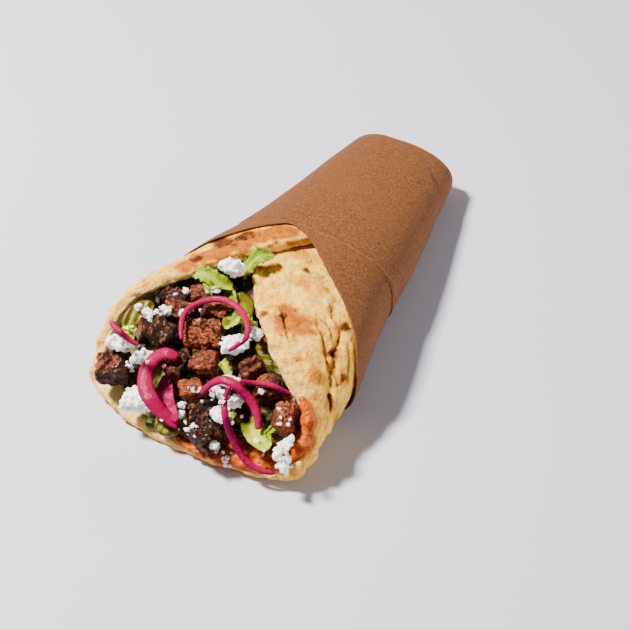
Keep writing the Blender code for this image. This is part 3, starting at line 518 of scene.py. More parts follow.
def buildPaperMaterial():
    # unbleached kraft paper: matt brown with short fibres and a faint mottling
    material, add, place = newMaterial("unbleachedKraftPaper")
    fibres = add("TexNoise", place, 1 / 0.0009, 2, 0.75, 2.0, 0.8)
    mottle = add("TexNoise", place, 1 / 0.0013, 3, 0.75)
    wide = add("TexNoise", place, 1 / 0.03, 3, 0.5)
    base = add("Mix", add("MapRange", mottle, 0.4, 0.58), paper["shade"], paper["kraft"])
    base = add("Mix", add("MapRange", fibres, 0.56, 0.66, 0.0, 0.7), base, paper["fibre"])
    base = add("Mix", add("MapRange", wide, 0.3, 0.7, 0.0, 0.35), base, paper["kraft"])
    # painted highlight: the cut edge of the upper sheet is painted lighter, as if it catches the light
    aside = add("Attribute", output="Fac", attribute_name="besideEdge")
    near = add("MapRange", add("Math", aside, operation="ABSOLUTE"), 0.0005, 0.0002)
    base = add("Mix", add("Math", near, 0.3), base, paper["edge"])
    step = add("MapRange", aside, -paper["overlap"], paper["overlap"])
    look = {
        "Base Color": base,
        "Roughness": 0.8,
        "Specular IOR Level": 0.1,
        "Sheen Weight": 0.04,
        "Sheen Roughness": 0.3,
    }
    return finishMaterial(material, add, look, [(step, paper["overlap"]), (fibres, 0.00004)])


def buildSleeve():
    obj = meshCopy("paper_sleeve", "kraftPaperSleeve")
    pick(obj)
    bpy.ops.object.mode_set(mode="EDIT")
    bpy.ops.mesh.select_mode(type="EDGE")
    bpy.ops.mesh.select_all(action="DESELECT")
    bpy.ops.mesh.edges_select_sharp(sharpness=math.radians(55))
    bpy.ops.transform.edge_crease(value=1)
    bpy.ops.object.mode_set(mode="OBJECT")
    modify(obj, "SUBSURF", levels=3)
    places = points(obj)
    radial = places - np.array([[0.0, 0.0, 0.018]])
    radial[:, 1] = 0
    radial /= np.linalg.norm(radial, axis=1)[:, None]
    wave = relief(places * np.array([[1, 0.5, 1]]), *paper["crumples"], 2, 4.0)
    wave += relief(places, *paper["ripples"], 2, 8.0)
    # the underside stays flat
    lifted = smooth(places[:, 2], 0.001, 0.008)
    movePoints(obj, places + radial * (np.maximum(wave, -0.0002) * lifted)[:, None])
    paint(obj, "besideEdge", besideRoute(points(obj), onSurface(treeOf([obj]), paperEdge)))
    return dress(obj, buildPaperMaterial(), "kraft_paper", "paper_sleeve")


# the seared steak: colours, then sizes and reliefs in metres; rounding is a number of passes, and a fibre
# has a size along itself and two across
steak = {
    "crust": "#180A05",
    "crustBrown": "#381A0C",
    "crustGrit": "#6A4028",
    "coral": "#96421C",
    "greyPink": "#60301C",
    # the dark between the fibres, also the painted shade in the clefts
    "seam": "#3C150A",
    "sinew": "#B0603A",
    "pepper": "#0E0604",
    "voxel": 0.00045,
    "rounding": 8,
    "crags": (0.0046, 0.0040),
    "grit": (0.0017, 0.0010),
    "fibre": (0.0042, 0.0009, 0.0008),
    "fibreDepth": 0.0004,
}
# each chunk in turn: the side that the knife left open, how much of it is open, how pink it is
steakLooks = [
    ((-0.3, -0.3, 0.9), 0.0, 0.3), ((0.3, -0.4, 0.9), 0.05, 0.5), ((0.4, -0.8, 0.4), 0.2, 0.5),
    ((-0.6, -0.4, 0.5), 0.1, 0.6), ((0.9, -0.3, 0.2), 0.1, 0.2), ((0.3, -0.5, 0.8), 0.85, 0.8),
    ((-0.4, -0.5, 0.8), 0.4, 0.6), ((0.1, -0.7, 0.7), 0.5, 0.4), ((-0.8, -0.2, 0.6), 0.35, 0.6),
    ((0.2, -0.9, 0.0), 0.3, 0.5), ((0.4, -0.5, 0.7), 0.5, 0.5), ((0.1, -0.5, 0.8), 0.85, 1.0),
    ((0.2, -0.5, 0.8), 0.6, 0.3), ((0.1, -0.5, 0.9), 0.6, 0.8), ((0.2, -0.8, 0.6), 0.85, 0.8),
    ((0.5, -0.9, 0.1), 0.1, 0.5), ((-0.2, -0.5, 0.8), 0.45, 0.8), ((-0.9, -0.3, 0.3), 0.35, 0.7),
    ((-0.1, -0.95, 0.3), 0.55, 1.0),
]


def buildSteakMaterial():
    # flame-seared steak: near-black crust, pink fibres where it was cut, wet with its own juice
    material, add, place = newMaterial("flameSearedSteak")
    run = add("Attribute", output="Vector", attribute_name="fibreRun")
    pink, opened, cheese = (
        add("Attribute", output="Fac", attribute_name=name) for name in ("pink", "cut", "cheese")
    )
    fibres = add("TexNoise", run, 1.0, 3, 0.6)
    lumps = add("TexNoise", place, 1 / 0.0026, 4, 0.6)
    wide = add("TexNoise", place, 1 / 0.006, 3, 0.5)
    fine = add("TexNoise", place, 1 / 0.0007, 4, 0.65)
    meat = add("Mix", pink, steak["greyPink"], steak["coral"])
    meat = addLayers(
        add, meat, steak,
        ("seam", fibres, 0.48, 0.64, 0.9),
        ("sinew", fibres, 0.5, 0.3, 0.5),
        ("crustBrown", wide, 0.47, 0.66, 0.85),
    )
    browned = ("crustBrown", lumps, 0.42, 0.64, 1.0)
    crust = addLayers(add, steak["crust"], steak, browned, ("crustGrit", fine, 0.56, 0.7, 0.75))
    ragged = add("Math", add("Math", lumps, 0.5, operation="SUBTRACT"), 1.6)
    opened = add("Math", opened, ragged, operation="ADD")
    base = add("Mix", add("MapRange", opened, 0.22, 0.62), crust, meat)
    # painted shade: the clefts between the fibres, where the surface bends inward, are painted dark
    bend = add("NewGeometry", output="Pointiness")
    base = addLayers(add, base, steak, ("seam", bend, 0.49, 0.44, 0.8))
    pepper = add("MapRange", add("TexNoise", place, 1 / 0.0010, 2, 0.5), 0.57, 0.66)
    base = add("Mix", add("Math", pepper, 0.85), base, steak["pepper"])
    base = add("Mix", cheese, base, feta["fused"])
    look = {
        "Base Color": base,
        "Roughness": add("MapRange", lumps, 0.3, 0.7, 0.40, 0.62),
        "Specular IOR Level": 0.08,
        "Coat Weight": 0.1,
        "Coat Roughness": 0.12,
    }
    return finishMaterial(material, add, look, [(lumps, 0.0009), (fibres, 0.0006), (fine, 0.0006)])


def shapeSteak(obj, number, look):
    side, share, pink = look
    modify(obj, "REMESH", mode="VOXEL", voxel_size=steak["voxel"])
    modify(obj, "SMOOTH", factor=0.5, iterations=steak["rounding"])
    roughen(obj, *steak["crags"])
    roughen(obj, *steak["grit"])
    places = points(obj)
    local, longest, _, shortest = mainAxes(places)
    spin = Matrix.Rotation(chance.uniform(-0.6, 0.6), 3, Vector(shortest)).to_3x3()
    along = np.array(spin @ Vector(longest))
    side = np.array(side) / np.linalg.norm(side)
    # fibres lie across the cut face
    along = along - side * (along @ side) * 0.7
    along /= np.linalg.norm(along)
    ways = (along, side, np.cross(side, along))
    run = np.stack([local @ way / size for way, size in zip(ways, steak["fibre"])], 1) + number * 7
    strands = np.array([noise.noise(Vector(p)) for p in run])
    directions = normals(obj)
    cut = smooth((directions @ side), 0.75 - share, 1.15 - share)
    movePoints(obj, places + directions * (strands * steak["fibreDepth"] * (0.4 + cut))[:, None])
    paint(obj, "fibreRun", run)
    paint(obj, "cut", cut)
    paint(obj, "pink", np.full(len(places), pink))
    paint(obj, "cheese", cheeseOn(places))


# the feta: colours, also of crumbs fused to other pieces, then sizes and reliefs in metres
feta = {
    "white": "#FEFDFA",
    "cream": "#F8F3E4",
    "fused": "#F6F2E6",
    "voxel": 0.00034,
    "lump": (0.0006, 0.0016),
    "lumpsPerSquareCm": 60,
    "shrink": 0.0013,
    "chips": (0.0022, 0.0013),
    "grains": (0.0011, 0.0009),
}
# the crumbs that the solids already carry: mm across and up the mouth, length in mm
fusedCrumbs = [
    (-49, 59, 5.0), (-33, 63, 4.5), (-25, 66, 4.5), (-49, 45, 3.2), (-41, 42, 4.5), (-37, 43, 3.5),
    (-35, 47, 4.5), (-28, 49, 3.2), (-39, 19, 3.0), (-12, 14, 4.5), (-9, 10, 4.0), (-2, 2, 3.2),
    (14, 1, 4.0), (31, 9, 2.6), (44, 4, 3.5), (-5, 19, 2.6), (24, 28, 2.4),
]


def dropOnto(tree, across, up):
    # falls along the way out of the mouth onto whatever lies there
    return tree.ray_cast(inMouth(across, up, 80), -mouth["out"])[:2]


solids = treeOf([o for name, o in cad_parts.items() if name not in ("flatbread", "paper_sleeve")])
crumbCentres = []
for across, up, length in fusedCrumbs:
    top = dropOnto(solids, across, up)[0]
    if top:
        crumbCentres.append((top - mouth["out"] * length * 0.3 * mm, length * mm))


def cheeseOn(places):
    # how much of a carrying piece's surface belongs to the crumbs fused to it
    share = np.zeros(len(places))
    for centre, length in crumbCentres:
        away = np.linalg.norm(places - np.array(centre), axis=1) / length
        share = np.maximum(share, 1 - smooth(away, 0.5, 0.62))
    return share


def buildFetaMaterial():
    # crumbled sheep's cheese: chalky white grains that glow where light goes through them
    material, add, place = newMaterial("crumbledFeta")
    grains = add("TexNoise", place, 1 / 0.0012, 4, 0.6)
    powder = add("TexNoise", place, 1 / 0.0005, 2, 0.5)
    wide = add("TexNoise", place, 1 / 0.005, 2, 0.5)
    base = add("Mix", add("MapRange", wide, 0.35, 0.65), feta["white"], feta["cream"])
    look = {
        "Base Color": base,
        "Roughness": 0.6,
        "Subsurface Weight": 0.2,
        "Subsurface Radius": (0.002, 0.0018, 0.0015),
        "Subsurface Scale": 1.0,
        "Specular IOR Level": 0.3,
    }
    return finishMaterial(material, add, look, [(grains, 0.0006), (powder, 0.0002)])


def crumble(obj, count):
    # small grains stuck all over a piece, then melted into one surface
    tree = BVHTree.FromObject(obj, bpy.context.evaluated_depsgraph_get())
    areas = [p.area for p in obj.data.polygons]
    chosen = chance.choices(range(len(areas)), weights=areas, k=count)
    shape = bmesh.new()
    shape.from_mesh(obj.data)
    for index in chosen:
        polygon = obj.data.polygons[index]
        corners = [obj.data.vertices[i].co for i in polygon.vertices]
        spot = sum((c * chance.random() for c in corners), Vector()) / (len(corners) * 0.5)
        spot = tree.find_nearest(spot)[0]
        radius = chance.uniform(*feta["lump"])
        lift = feta["shrink"] - radius * chance.uniform(0.6, 1.2)
        addLump(shape, spot + polygon.normal * lift, radius)
    shape.to_mesh(obj.data)
    shape.free()
    modify(obj, "REMESH", mode="VOXEL", voxel_size=feta["voxel"])


def shapeFeta(obj):
    area = sum(p.area for p in obj.data.polygons) * 10000
    movePoints(obj, points(obj) - normals(obj) * feta["shrink"])
    crumble(obj, int(area * feta["lumpsPerSquareCm"]))
    roughen(obj, *feta["chips"], "VORONOI")
    roughen(obj, *feta["grains"])


# the gherkin slices: colours, then sizes in metres; rounding is a number of passes
gherkin = {
    "flesh": "#6E600E",
    "dark": "#4E420A",
    "pale": "#7E7C22",
    "seed": "#94903A",
    "skin": "#2E300A",
    "voxel": 0.0004,
    "rounding": 8,
    "ridge": 0.0034,
    "ridgeDepth": 0.00028,
}


def buildGherkinMaterial():
    # brined gherkin slice: wet, half see-through olive flesh, darker skin, pale seeds in the middle
    material, add, place = newMaterial("brinedGherkinSlice")
    across = add("Attribute", output="Vector", attribute_name="slicePlace")
    fromMiddle = add("Attribute", output="Fac", attribute_name="fromMiddle")
    cheese = add("Attribute", output="Fac", attribute_name="cheese")
    cloudy = add("TexNoise", place, 1 / 0.004, 3, 0.5)
    # slicePlace is in mm, so a seed is about 3 mm long
    seeds = add("TexVoronoi", across, 0.32, named={"Randomness": 0.9})
    base = add("Mix", add("MapRange", cloudy, 0.3, 0.7), gherkin["flesh"], gherkin["dark"])
    core = add("MapRange", fromMiddle, 0.6, 0.2)
    base = add("Mix", add("Math", core, 0.6), base, gherkin["pale"])
    seeds = add("Math", add("MapRange", seeds, 0.34, 0.2), core)
    base = add("Mix", add("Math", seeds, 0.5), base, gherkin["seed"])
    base = add("Mix", add("MapRange", fromMiddle, 0.86, 0.97), base, gherkin["skin"])
    base = add("Mix", cheese, base, feta["fused"])
    look = {
        "Base Color": base,
        "Roughness": 0.3,
        "IOR": 1.36,
        "Specular IOR Level": 0.25,
    }
    return finishMaterial(material, add, look, [(cloudy, 0.0003)])


def shapeGherkin(obj):
    modify(obj, "REMESH", mode="VOXEL", voxel_size=gherkin["voxel"])
    modify(obj, "SMOOTH", factor=0.5, iterations=gherkin["rounding"])
    places = points(obj)
    local, longest, middle, shortest = mainAxes(places)
    u, v = local @ longest, local @ middle
    # crinkle cut: both faces follow the same waves
    crinkle = np.sin((u * 0.5 + v * 0.85) / gherkin["ridge"] * 2 * math.pi) * gherkin["ridgeDepth"]
    movePoints(obj, places + shortest[None, :] * crinkle[:, None])
    reach = np.sqrt((u / np.abs(u).max()) ** 2 + (v / np.abs(v).max()) ** 2)
    paint(obj, "fromMiddle", reach)
    paint(obj, "slicePlace", local * 1000)
    paint(obj, "cheese", cheeseOn(places))


# the lettuce: colours, then the size and depth of its ruffles, waves and torn edges in metres
lettuce = {
    "bright": "#7A9A00",
    "deep": "#3C5C08",
    "rib": "#AEB01C",
    "ruffles": (0.0030, 0.0028),
    "waves": (0.006, 0.0014),
    "tears": (0.0022, 0.0012),
}
# how pale each leaf is: 0 a green tip, 1 a rib from the heart
leafPaleness = [0.05, 0.2, 0.65, 0.6, 0.35, 0.4, 0.55]


def buildLettuceMaterial():
    # crisp lettuce leaf: thin, waxy and lit from behind, with paler ribs
    material, add, place = newMaterial("crispLettuceLeaf")
    leaf = add("Attribute", output="Vector", attribute_name="leafPlace")
    pale, rib, cheese = (
        add("Attribute", output="Fac", attribute_name=name) for name in ("pale", "rib", "cheese")
    )
    cloudy = add("TexNoise", place, 1 / 0.005, 3, 0.5)
    # leafPlace is in mm, so the veins are about 3 mm apart
    cells = add("TexVoronoi", leaf, 0.35, named={"Randomness": 0.9}, feature="DISTANCE_TO_EDGE")
    base = add("Mix", add("MapRange", cloudy, 0.35, 0.65), lettuce["bright"], lettuce["deep"])
    base = add("Mix", pale, base, lettuce["rib"])
    base = add("Mix", add("Math", rib, 0.7), base, lettuce["rib"])
    base = add("Mix", add("Math", add("MapRange", cells, 0.10, 0.0), 0.3), base, lettuce["rib"])
    base = add("Mix", cheese, base, feta["fused"])
    look = {
        "Base Color": base,
        "Roughness": 0.38,
        "Subsurface Weight": 0.2,
        "Subsurface Radius": (0.002, 0.003, 0.0003),
        "Subsurface Scale": 1.0,
        "Specular IOR Level": 0.14,
    }
    return finishMaterial(material, add, look, [(cells, 0.0003), (cloudy, 0.0005)])


def shapeLeaf(obj, _, paleness):
    modify(obj, "SUBSURF", levels=3)
    places = points(obj)
    local, longest, middle, shortest = mainAxes(places)
    u, v = local @ longest, local @ middle
    share = np.abs(v) / np.abs(v).max()
    edge = smooth(share, 0.35, 1.0)
    ruffle = relief(places, *lettuce["ruffles"], 2, 2.0) * edge
    ruffle += relief(places, *lettuce["waves"], 1, 5.0)
    tear = relief(places, *lettuce["tears"], 2, 12.0) * smooth(share, 0.6, 1.0) * np.sign(v)
    movePoints(obj, places + shortest[None, :] * ruffle[:, None] + middle[None, :] * tear[:, None])
    paint(obj, "leafPlace", np.stack([u, v, u * 0], 1) * 1000)
    paint(obj, "rib", 1 - smooth(np.abs(v), 0.0002, 0.0011))
    paint(obj, "pale", np.clip(paleness * (1.3 - edge), 0, 1))
    paint(obj, "cheese", cheeseOn(places))


# the pickled onion: colours, and how far a strip is filled out in metres
# hot is the painted lit pink of the faces turned up out of the mouth
onion = {"hot": "#8E0234", "magenta": "#6E0442", "deep": "#420426", "pale": "#A82858", "fillOut": 0.00025}


def buildOnionMaterial():
    # onion pickled in beet-red vinegar: shiny, half see-through magenta with fine lengthwise lines
    material, add, place = newMaterial("vinegarPickledOnion")
    top = add("Attribute", output="Fac", attribute_name="top")
    inner = add("Attribute", output="Fac", attribute_name="inner")
    cloudy = add("TexNoise", place, 1 / 0.005, 3, 0.5)
    fine = add("TexNoise", place, 1 / 0.0012, 3, 0.6)
    # painted light: the faces turned up out of the mouth, towards the light, are painted a hot lit pink, the
    # sides a darker shaded magenta
    edges = add("Mix", add("MapRange", cloudy, 0.3, 0.7), onion["magenta"], onion["deep"])
    base = add("Mix", top, edges, onion["hot"])
    base = addLayers(add, base, onion, ("magenta", cloudy, 0.55, 0.75, 0.6))
    base = add("Mix", add("Math", inner, 0.5), base, onion["pale"])
    base = addLayers(add, base, onion, ("pale", fine, 0.6, 0.8, 0.3))
    look = {
        "Base Color": base,
        "Roughness": 0.22,
        "IOR": 1.36,
        "Subsurface Weight": 0.15,
        "Subsurface Radius": (0.004, 0.0004, 0.0008),
        "Subsurface Scale": 1.0,
        "Specular IOR Level": 0.1,
    }
    return finishMaterial(material, add, look, [(cloudy, 0.0008), (fine, 0.00025)])


# the inner layer of the widest strip, a thin bowl: the pixels it runs through with its width there in mm,
# then lengths in metres and how deep the bowl is as a share of half its width
innerShell = {
    "route": (
        (165, 367, 2.0), (168.5, 374, 4.6), (170.5, 382, 6.0), (171, 391, 7.0), (169, 400, 9.0),
        (170, 409, 8.0), (175, 418, 4.5), (179, 424, 1.5),
    ),
    "lift": 0.0032,
    "thickness": 0.0009,
    "cup": 0.35,
    "rings": 40,
    "halfRing": 3,
    "waves": (0.003, 0.0003),
}


def buildInnerShell(heap, material):
    corners = []
    widths = []
    for x, y, width in innerShell["route"]:
        spot = seenAt(heap, x, y)[0]
        if spot:
            corners.append(spot + mouth["out"] * innerShell["lift"])
            widths.append(width * mm)
    # an even height, whatever lies below
    for again in range(3):
        heights = [c.dot(mouth["out"]) for c in corners]
        for i in range(1, len(corners) - 1):
            corners[i] += mouth["out"] * ((heights[i - 1] + heights[i + 1]) / 2 - heights[i]) * 0.7
    facing = (-viewAxes()[2] + mouth["out"]).normalized()
    shape = bmesh.new()
    rings = []
    reach = innerShell["halfRing"]
    for step in range(innerShell["rings"] + 1):
        share = step / innerShell["rings"] * (len(corners) - 1)
        index = min(int(share), len(corners) - 2)
        before, after = corners[max(index - 1, 0)], corners[min(index + 2, len(corners) - 1)]
        t = share - index
        a, b = corners[index], corners[index + 1]
        # a smooth curve through the corners
        bend = 2 * before - 5 * a + 4 * b - after
        swing = 3 * a - before - 3 * b + after
        place = 0.5 * (2 * a + (b - before) * t + bend * t**2 + swing * t**3)
        half = (widths[index] * (1 - t) + widths[index + 1] * t) / 2
        aside = (b - a).cross(facing).normalized()
        ring = []
        for side in range(-reach, reach + 1):
            raised = facing * half * innerShell["cup"] * (side / reach) ** 2
            ring.append(shape.verts.new(place + aside * half * side / reach + raised))
        rings.append(ring)
    for first, second in zip(rings[:-1], rings[1:]):
        for i in range(2 * reach):
            shape.faces.new((first[i], first[i + 1], second[i + 1], second[i]))
    obj = newPiece("onionInnerShell", shape)
    modify(obj, "SMOOTH", factor=0.5, iterations=8)
    modify(obj, "SOLIDIFY", thickness=innerShell["thickness"], offset=0)
    modify(obj, "SUBSURF", levels=2)
    places = points(obj)
    movePoints(obj, places + normals(obj) * relief(places, *innerShell["waves"], 1, 4.0)[:, None])
    paint(obj, "inner", smooth(cloud(places, 0.004, 2, 6.0), -0.2, 0.5))
    # the shell takes part of the painted lit pink all over
    paint(obj, "top", np.full(len(places), 0.6))
    return dress(obj, material, "pickled_onion")


def shapeOnion(obj):
    modify(obj, "SUBSURF", levels=2)
    # subdividing thins a strip, so it is filled out again
    movePoints(obj, points(obj) + normals(obj) * onion["fillOut"])
    places = points(obj)
    directions = normals(obj)
    towards = places.mean(0) - places
    towards /= np.linalg.norm(towards, axis=1)[:, None] + 1e-9
    paint(obj, "inner", smooth((directions * towards).sum(1), 0.3, 0.9))
    # painted light: how far a face turns up out of the mouth, towards the light, sets how much lit pink it
    # gets
    paint(obj, "top", smooth(directions @ np.array(mouth["out"]), 0.35, 0.95))


# the pepper spread: colours, then sizes and reliefs in metres; rounding is a number of passes
spread = {
    "orange": "#A03A00",
    "light": "#B65000",
    "red": "#862600",
    "fleck": "#5E1204",
    "voxel": 0.00054,
    "lumpsPerStep": 13,
    "welling": 0.6,
    "rounding": 26,
    "folds": (0.0050, 0.0024),
    "grains": (0.0018, 0.0003),
}
# where the paste wells up along the lip and against the right wall: pixel, radius of a lump in mm
spreadRoutes = [
    (
        (176, 437, 1.5), (183, 443, 1.8), (192, 449, 2.0), (204, 456, 2.2), (222, 462, 2.3),
        (240, 465, 2.4), (258, 467, 2.5), (276, 466, 2.6), (290, 462, 2.8), (300, 454, 3.0),
        (306, 445, 3.2), (309, 433, 3.2), (309, 420, 3.0), (306, 409, 2.6), (302, 401, 1.8),
    ),
    (
        (196, 445, 1.8), (215, 453, 2.0), (236, 457, 2.4), (256, 459, 2.8), (276, 458, 2.8),
        (294, 450, 3.0), (302, 436, 3.0), (304, 420, 2.6),
    ),
]


def buildSpreadMaterial():
    # roasted pepper spread: glossy orange paste with oil on top and small bits in it
    material, add, place = newMaterial("oilyPepperSpread")
    lumps = add("TexNoise", place, 1 / 0.003, 4, 0.6)
    wide = add("TexNoise", place, 1 / 0.009, 2, 0.5)
    fine = add("TexNoise", place, 1 / 0.0008, 3, 0.6)
    base = addLayers(
        add, spread["orange"], spread,
        ("light", lumps, 0.35, 0.65, 1.0),
        ("red", wide, 0.5, 0.7, 0.6),
        ("fleck", fine, 0.66, 0.72, 0.6),
    )
    look = {
        "Base Color": base,
        "Roughness": add("MapRange", lumps, 0.3, 0.7, 0.2, 0.34),
        "Specular IOR Level": 0.12,
    }
    return finishMaterial(material, add, look, [(lumps, 0.0008), (fine, 0.0001)])


def buildSpread(ground, material):
    obj = meshCopy("spicy_spread", "pepperSpread")
    ground = treeOf([obj] + ground)
    shape = bmesh.new()
    shape.from_mesh(obj.data)
    count = spread["lumpsPerStep"]
    for route in spreadRoutes:
        for start, end in zip(route[:-1], route[1:]):
            for step in range(count):
                x, y, radius = [a + (b - a) * (step + chance.random()) / count for a, b in zip(start, end)]
                place = seenAt(ground, x + chance.uniform(-1.5, 1.5), y + chance.uniform(-1.5, 1.5))[0]
                if place:
                    place += mouth["out"] * radius * spread["welling"] * mm
                    addLump(shape, place, radius * mm * chance.uniform(0.7, 1.05))
    shape.to_mesh(obj.data)
    shape.free()
    modify(obj, "REMESH", mode="VOXEL", voxel_size=spread["voxel"])
    modify(obj, "SMOOTH", factor=0.5, iterations=spread["rounding"])
    roughen(obj, *spread["folds"])
    roughen(obj, *spread["grains"])
    return dress(obj, material, "pepper_spread", "spicy_spread")


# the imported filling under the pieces: colours, then the size and depth of its lumps in metres
filling = {"dark": "#24160A", "green": "#5C5C12", "brown": "#482412", "lumps": (0.005, 0.0016)}


def buildFillingMaterial():
    # pressed greens and meat juice, wet and uneven; painted dark, partly its own colour and partly painted
    # shade of the deep gaps between the pieces
    material, add, place = newMaterial("pressedWetGreens")
    lumps = add("TexNoise", place, 1 / 0.0035, 4, 0.6)
    wide = add("TexNoise", place, 1 / 0.008, 3, 0.5)
    fine = add("TexNoise", place, 1 / 0.001, 3, 0.6)
    pressed = ("green", lumps, 0.4, 0.62, 1.0), ("brown", wide, 0.5, 0.6, 1.0)
    base = addLayers(add, filling["dark"], filling, *pressed)
    look = {"Base Color": base, "Roughness": 0.45, "Specular IOR Level": 0.2}
    return finishMaterial(material, add, look, [(lumps, 0.001), (fine, 0.0002)])


def buildFilling():
    obj = meshCopy("packed_filling", "packedGreens")
    modify(obj, "SUBSURF", levels=2)
    roughen(obj, *filling["lumps"])
    return dress(obj, buildFillingMaterial(), "packed_greens", "packed_filling")


# loose crumbs that the photograph shows: pixel, length in mm
looseCrumbs = [
    (155.5, 290, 4.0), (156.5, 297, 4.0), (186, 291, 4.5), (214, 290.5, 4.0), (140, 307, 2.8),
    (150, 316, 3.2), (156, 313, 3.6), (163, 309, 3.6), (182, 312, 2.8), (129.5, 366, 2.6),
    (183, 406, 4.5), (189, 423, 3.6), (187.5, 430, 2.8), (216, 451, 3.6), (262.5, 454.5, 2.4),
    (279.5, 459, 3.2), (223.5, 452, 1.8), (224.5, 464.5, 2.0), (244.5, 278.5, 2.6), (186, 438, 2.2),
    (127, 328, 3.0), (133, 398, 3.4), (147, 414, 3.0), (151, 421, 2.8), (280, 418, 2.2), (279, 424, 2.2),
    (287, 446, 4.5), (283, 452, 3.6), (277, 450, 3.0), (291, 464, 3.6), (121, 341, 3.0), (141, 346, 3.0),
    (236, 340, 3.4), (219, 408, 3.0), (229, 416, 3.2), (213, 395, 2.6), (222, 402, 2.6), (250, 339, 1.8),
    (197, 391, 2.2), (262, 392, 1.8), (195, 436, 1.8),
]
# lumps in a crumb, how many small crumbs are strewn how many pixels around, then sizes in metres
crumbStyle = {
    "lumps": 8,
    "small": 70,
    "reach": 6,
    "size": (0.0003, 0.0008),
    "voxel": 0.00028,
    "chips": (0.0020, 0.0009),
    "grains": (0.0009, 0.0006),
}


def anyWay(least, most):
    # a random way to lean, flat or steep within these
    return Vector((chance.uniform(-1, 1), chance.uniform(-1, 1), chance.uniform(least, most)))


def buildCrumbs(heap, filled, material):
    shape = bmesh.new()
    centres = list(crumbCentres)
    for x, y, length in looseCrumbs:
        place, normal = seenAt(heap, x, y)
        if place:
            centres.append((place + normal * length * 0.12 * mm, length * mm))
    for centre, length in centres:
        for lump in range(crumbStyle["lumps"]):
            aside = anyWay(-0.5, 0.5) * length * 0.34
            addLump(shape, centre + aside, length * chance.uniform(0.13, 0.27))
    for number in range(crumbStyle["small"]):
        x, y, length = chance.choice(looseCrumbs)
        x += chance.gauss(0, crumbStyle["reach"])
        y += chance.gauss(0, crumbStyle["reach"])
        place, normal = seenAt(heap, x, y)
        # none lies on the bare bread
        if place is None or filled.find_nearest(place)[3] > 0.0001:
            continue
        for lump in range(3):
            radius = chance.uniform(*crumbStyle["size"])
            aside = anyWay(-0.2, 0.8) * radius
            addLump(shape, place + normal * radius * 0.4 + aside, radius)
    obj = newPiece("fetaCrumbs", shape)
    modify(obj, "REMESH", mode="VOXEL", voxel_size=crumbStyle["voxel"])
    roughen(obj, *crumbStyle["chips"], "VORONOI")
    roughen(obj, *crumbStyle["grains"])
    return dress(obj, material, "feta_cheese")


# scraps and shreds that lie where the bed shows: how many are tried, then sizes in metres
scrapStyle = {"count": 460, "size": (0.0011, 0.0032), "voxel": 0.0004, "crags": (0.0022, 0.0016)}
shredStyle = {
    "count": 70,
    "length": (0.005, 0.010),
    "width": (0.0018, 0.0036),
    "thickness": 0.0005,
    "ripple": (0.0026, 0.0013),
    "fray": (0.003, 0.0006),
}
# torn bits of leaf that the photograph shows: pixel, length in mm, turn in degrees, how pale
shreds = [
    (204, 280, 9, 20, 0.1), (211, 277, 9, 60, 0.2), (217, 283, 10, 110, 0.15), (223, 288, 9, 30, 0.2),
    (229, 292, 9, 80, 0.3), (234, 297, 8, 130, 0.2), (208, 287, 8, 150, 0.3), (226, 297, 8, 10, 0.2),
    (238, 287, 7, 50, 0.1), (122, 329, 8, 120, 0.9), (128, 333, 7, 60, 0.5), (131, 337, 6, 140, 0.3),
    (153, 423, 7, 70, 0.1), (149, 419, 6, 20, 0.6), (252, 322, 8, 100, 0.9), (240, 316, 8, 130, 0.8),
    (246, 324, 8, 110, 0.6), (276, 436, 7, 150, 0.3), (272, 430, 7, 60, 0.5), (228, 433, 10, 95, 0.8),
    (232, 418, 6, 60, 0.9),
]


def visibleBed(tree, bed, count):
    # random places where nothing covers the bed
    found = []
    for attempt in range(count):
        across, up = chance.uniform(-54, 46), chance.uniform(0, 92)
        place, normal = dropOnto(tree, across, up)
        below = dropOnto(bed, across, up)[0]
        if place is None or below is None or (place - below).length > 0.0025:
            continue
        found.append((place, normal))
    return found


def buildScraps(heap, bed, material):
    shape = bmesh.new()
    for place, normal in visibleBed(heap, bed, scrapStyle["count"]):
        radius = chance.uniform(*scrapStyle["size"])
        addLump(shape, place + normal * radius * 0.3, radius)
    obj = newPiece("steakScraps", shape)
    modify(obj, "REMESH", mode="VOXEL", voxel_size=scrapStyle["voxel"])
    roughen(obj, *scrapStyle["crags"])
    places = points(obj)
    paint(obj, "fibreRun", places * np.array([[400, 1200, 1200]]))
    paint(obj, "cut", smooth(cloud(places, 0.006, 1, 3.0), -0.3, 0.3))
    paint(obj, "pink", smooth(cloud(places, 0.009, 1, 6.0), -0.3, 0.5))
    paint(obj, "cheese", np.zeros(len(places)))
    return dress(obj, material, "seared_steak")


def addShred(shape, place, normal, length, width, turn):
    along = (mouth["across"] * math.cos(turn) + mouth["up"] * math.sin(turn)).normalized()
    along = (along - normal * along.dot(normal)).normalized()
    aside = normal.cross(along)
    bow = chance.uniform(0.05, 0.3)
    twist = chance.uniform(-0.8, 0.8)
    (rippleSize, rippleDepth), (fraySize, frayDepth) = shredStyle["ripple"], shredStyle["fray"]
    grid = bmesh.ops.create_grid(shape, x_segments=22, y_segments=6, size=1)["verts"]
    for vertex in grid:
        u, v = vertex.co.x, vertex.co.y
        taper = 1 - 0.75 * abs(u) ** 3
        curl = v * v * 0.5 + bow * length / width * (1 - u * u)
        lift = math.sin(u * twist) * v
        spot = place + along * u * length / 2 + aside * v * width / 2 * taper
        spot += normal * (curl + lift) * width / 2
        ripple = noise.noise(spot / rippleSize) * rippleDepth * (0.3 + abs(v))
        fray = noise.noise(spot / fraySize + Vector((5, 0, 0)))
        vertex.co = spot + normal * ripple + aside * fray * frayDepth
    return len(grid)


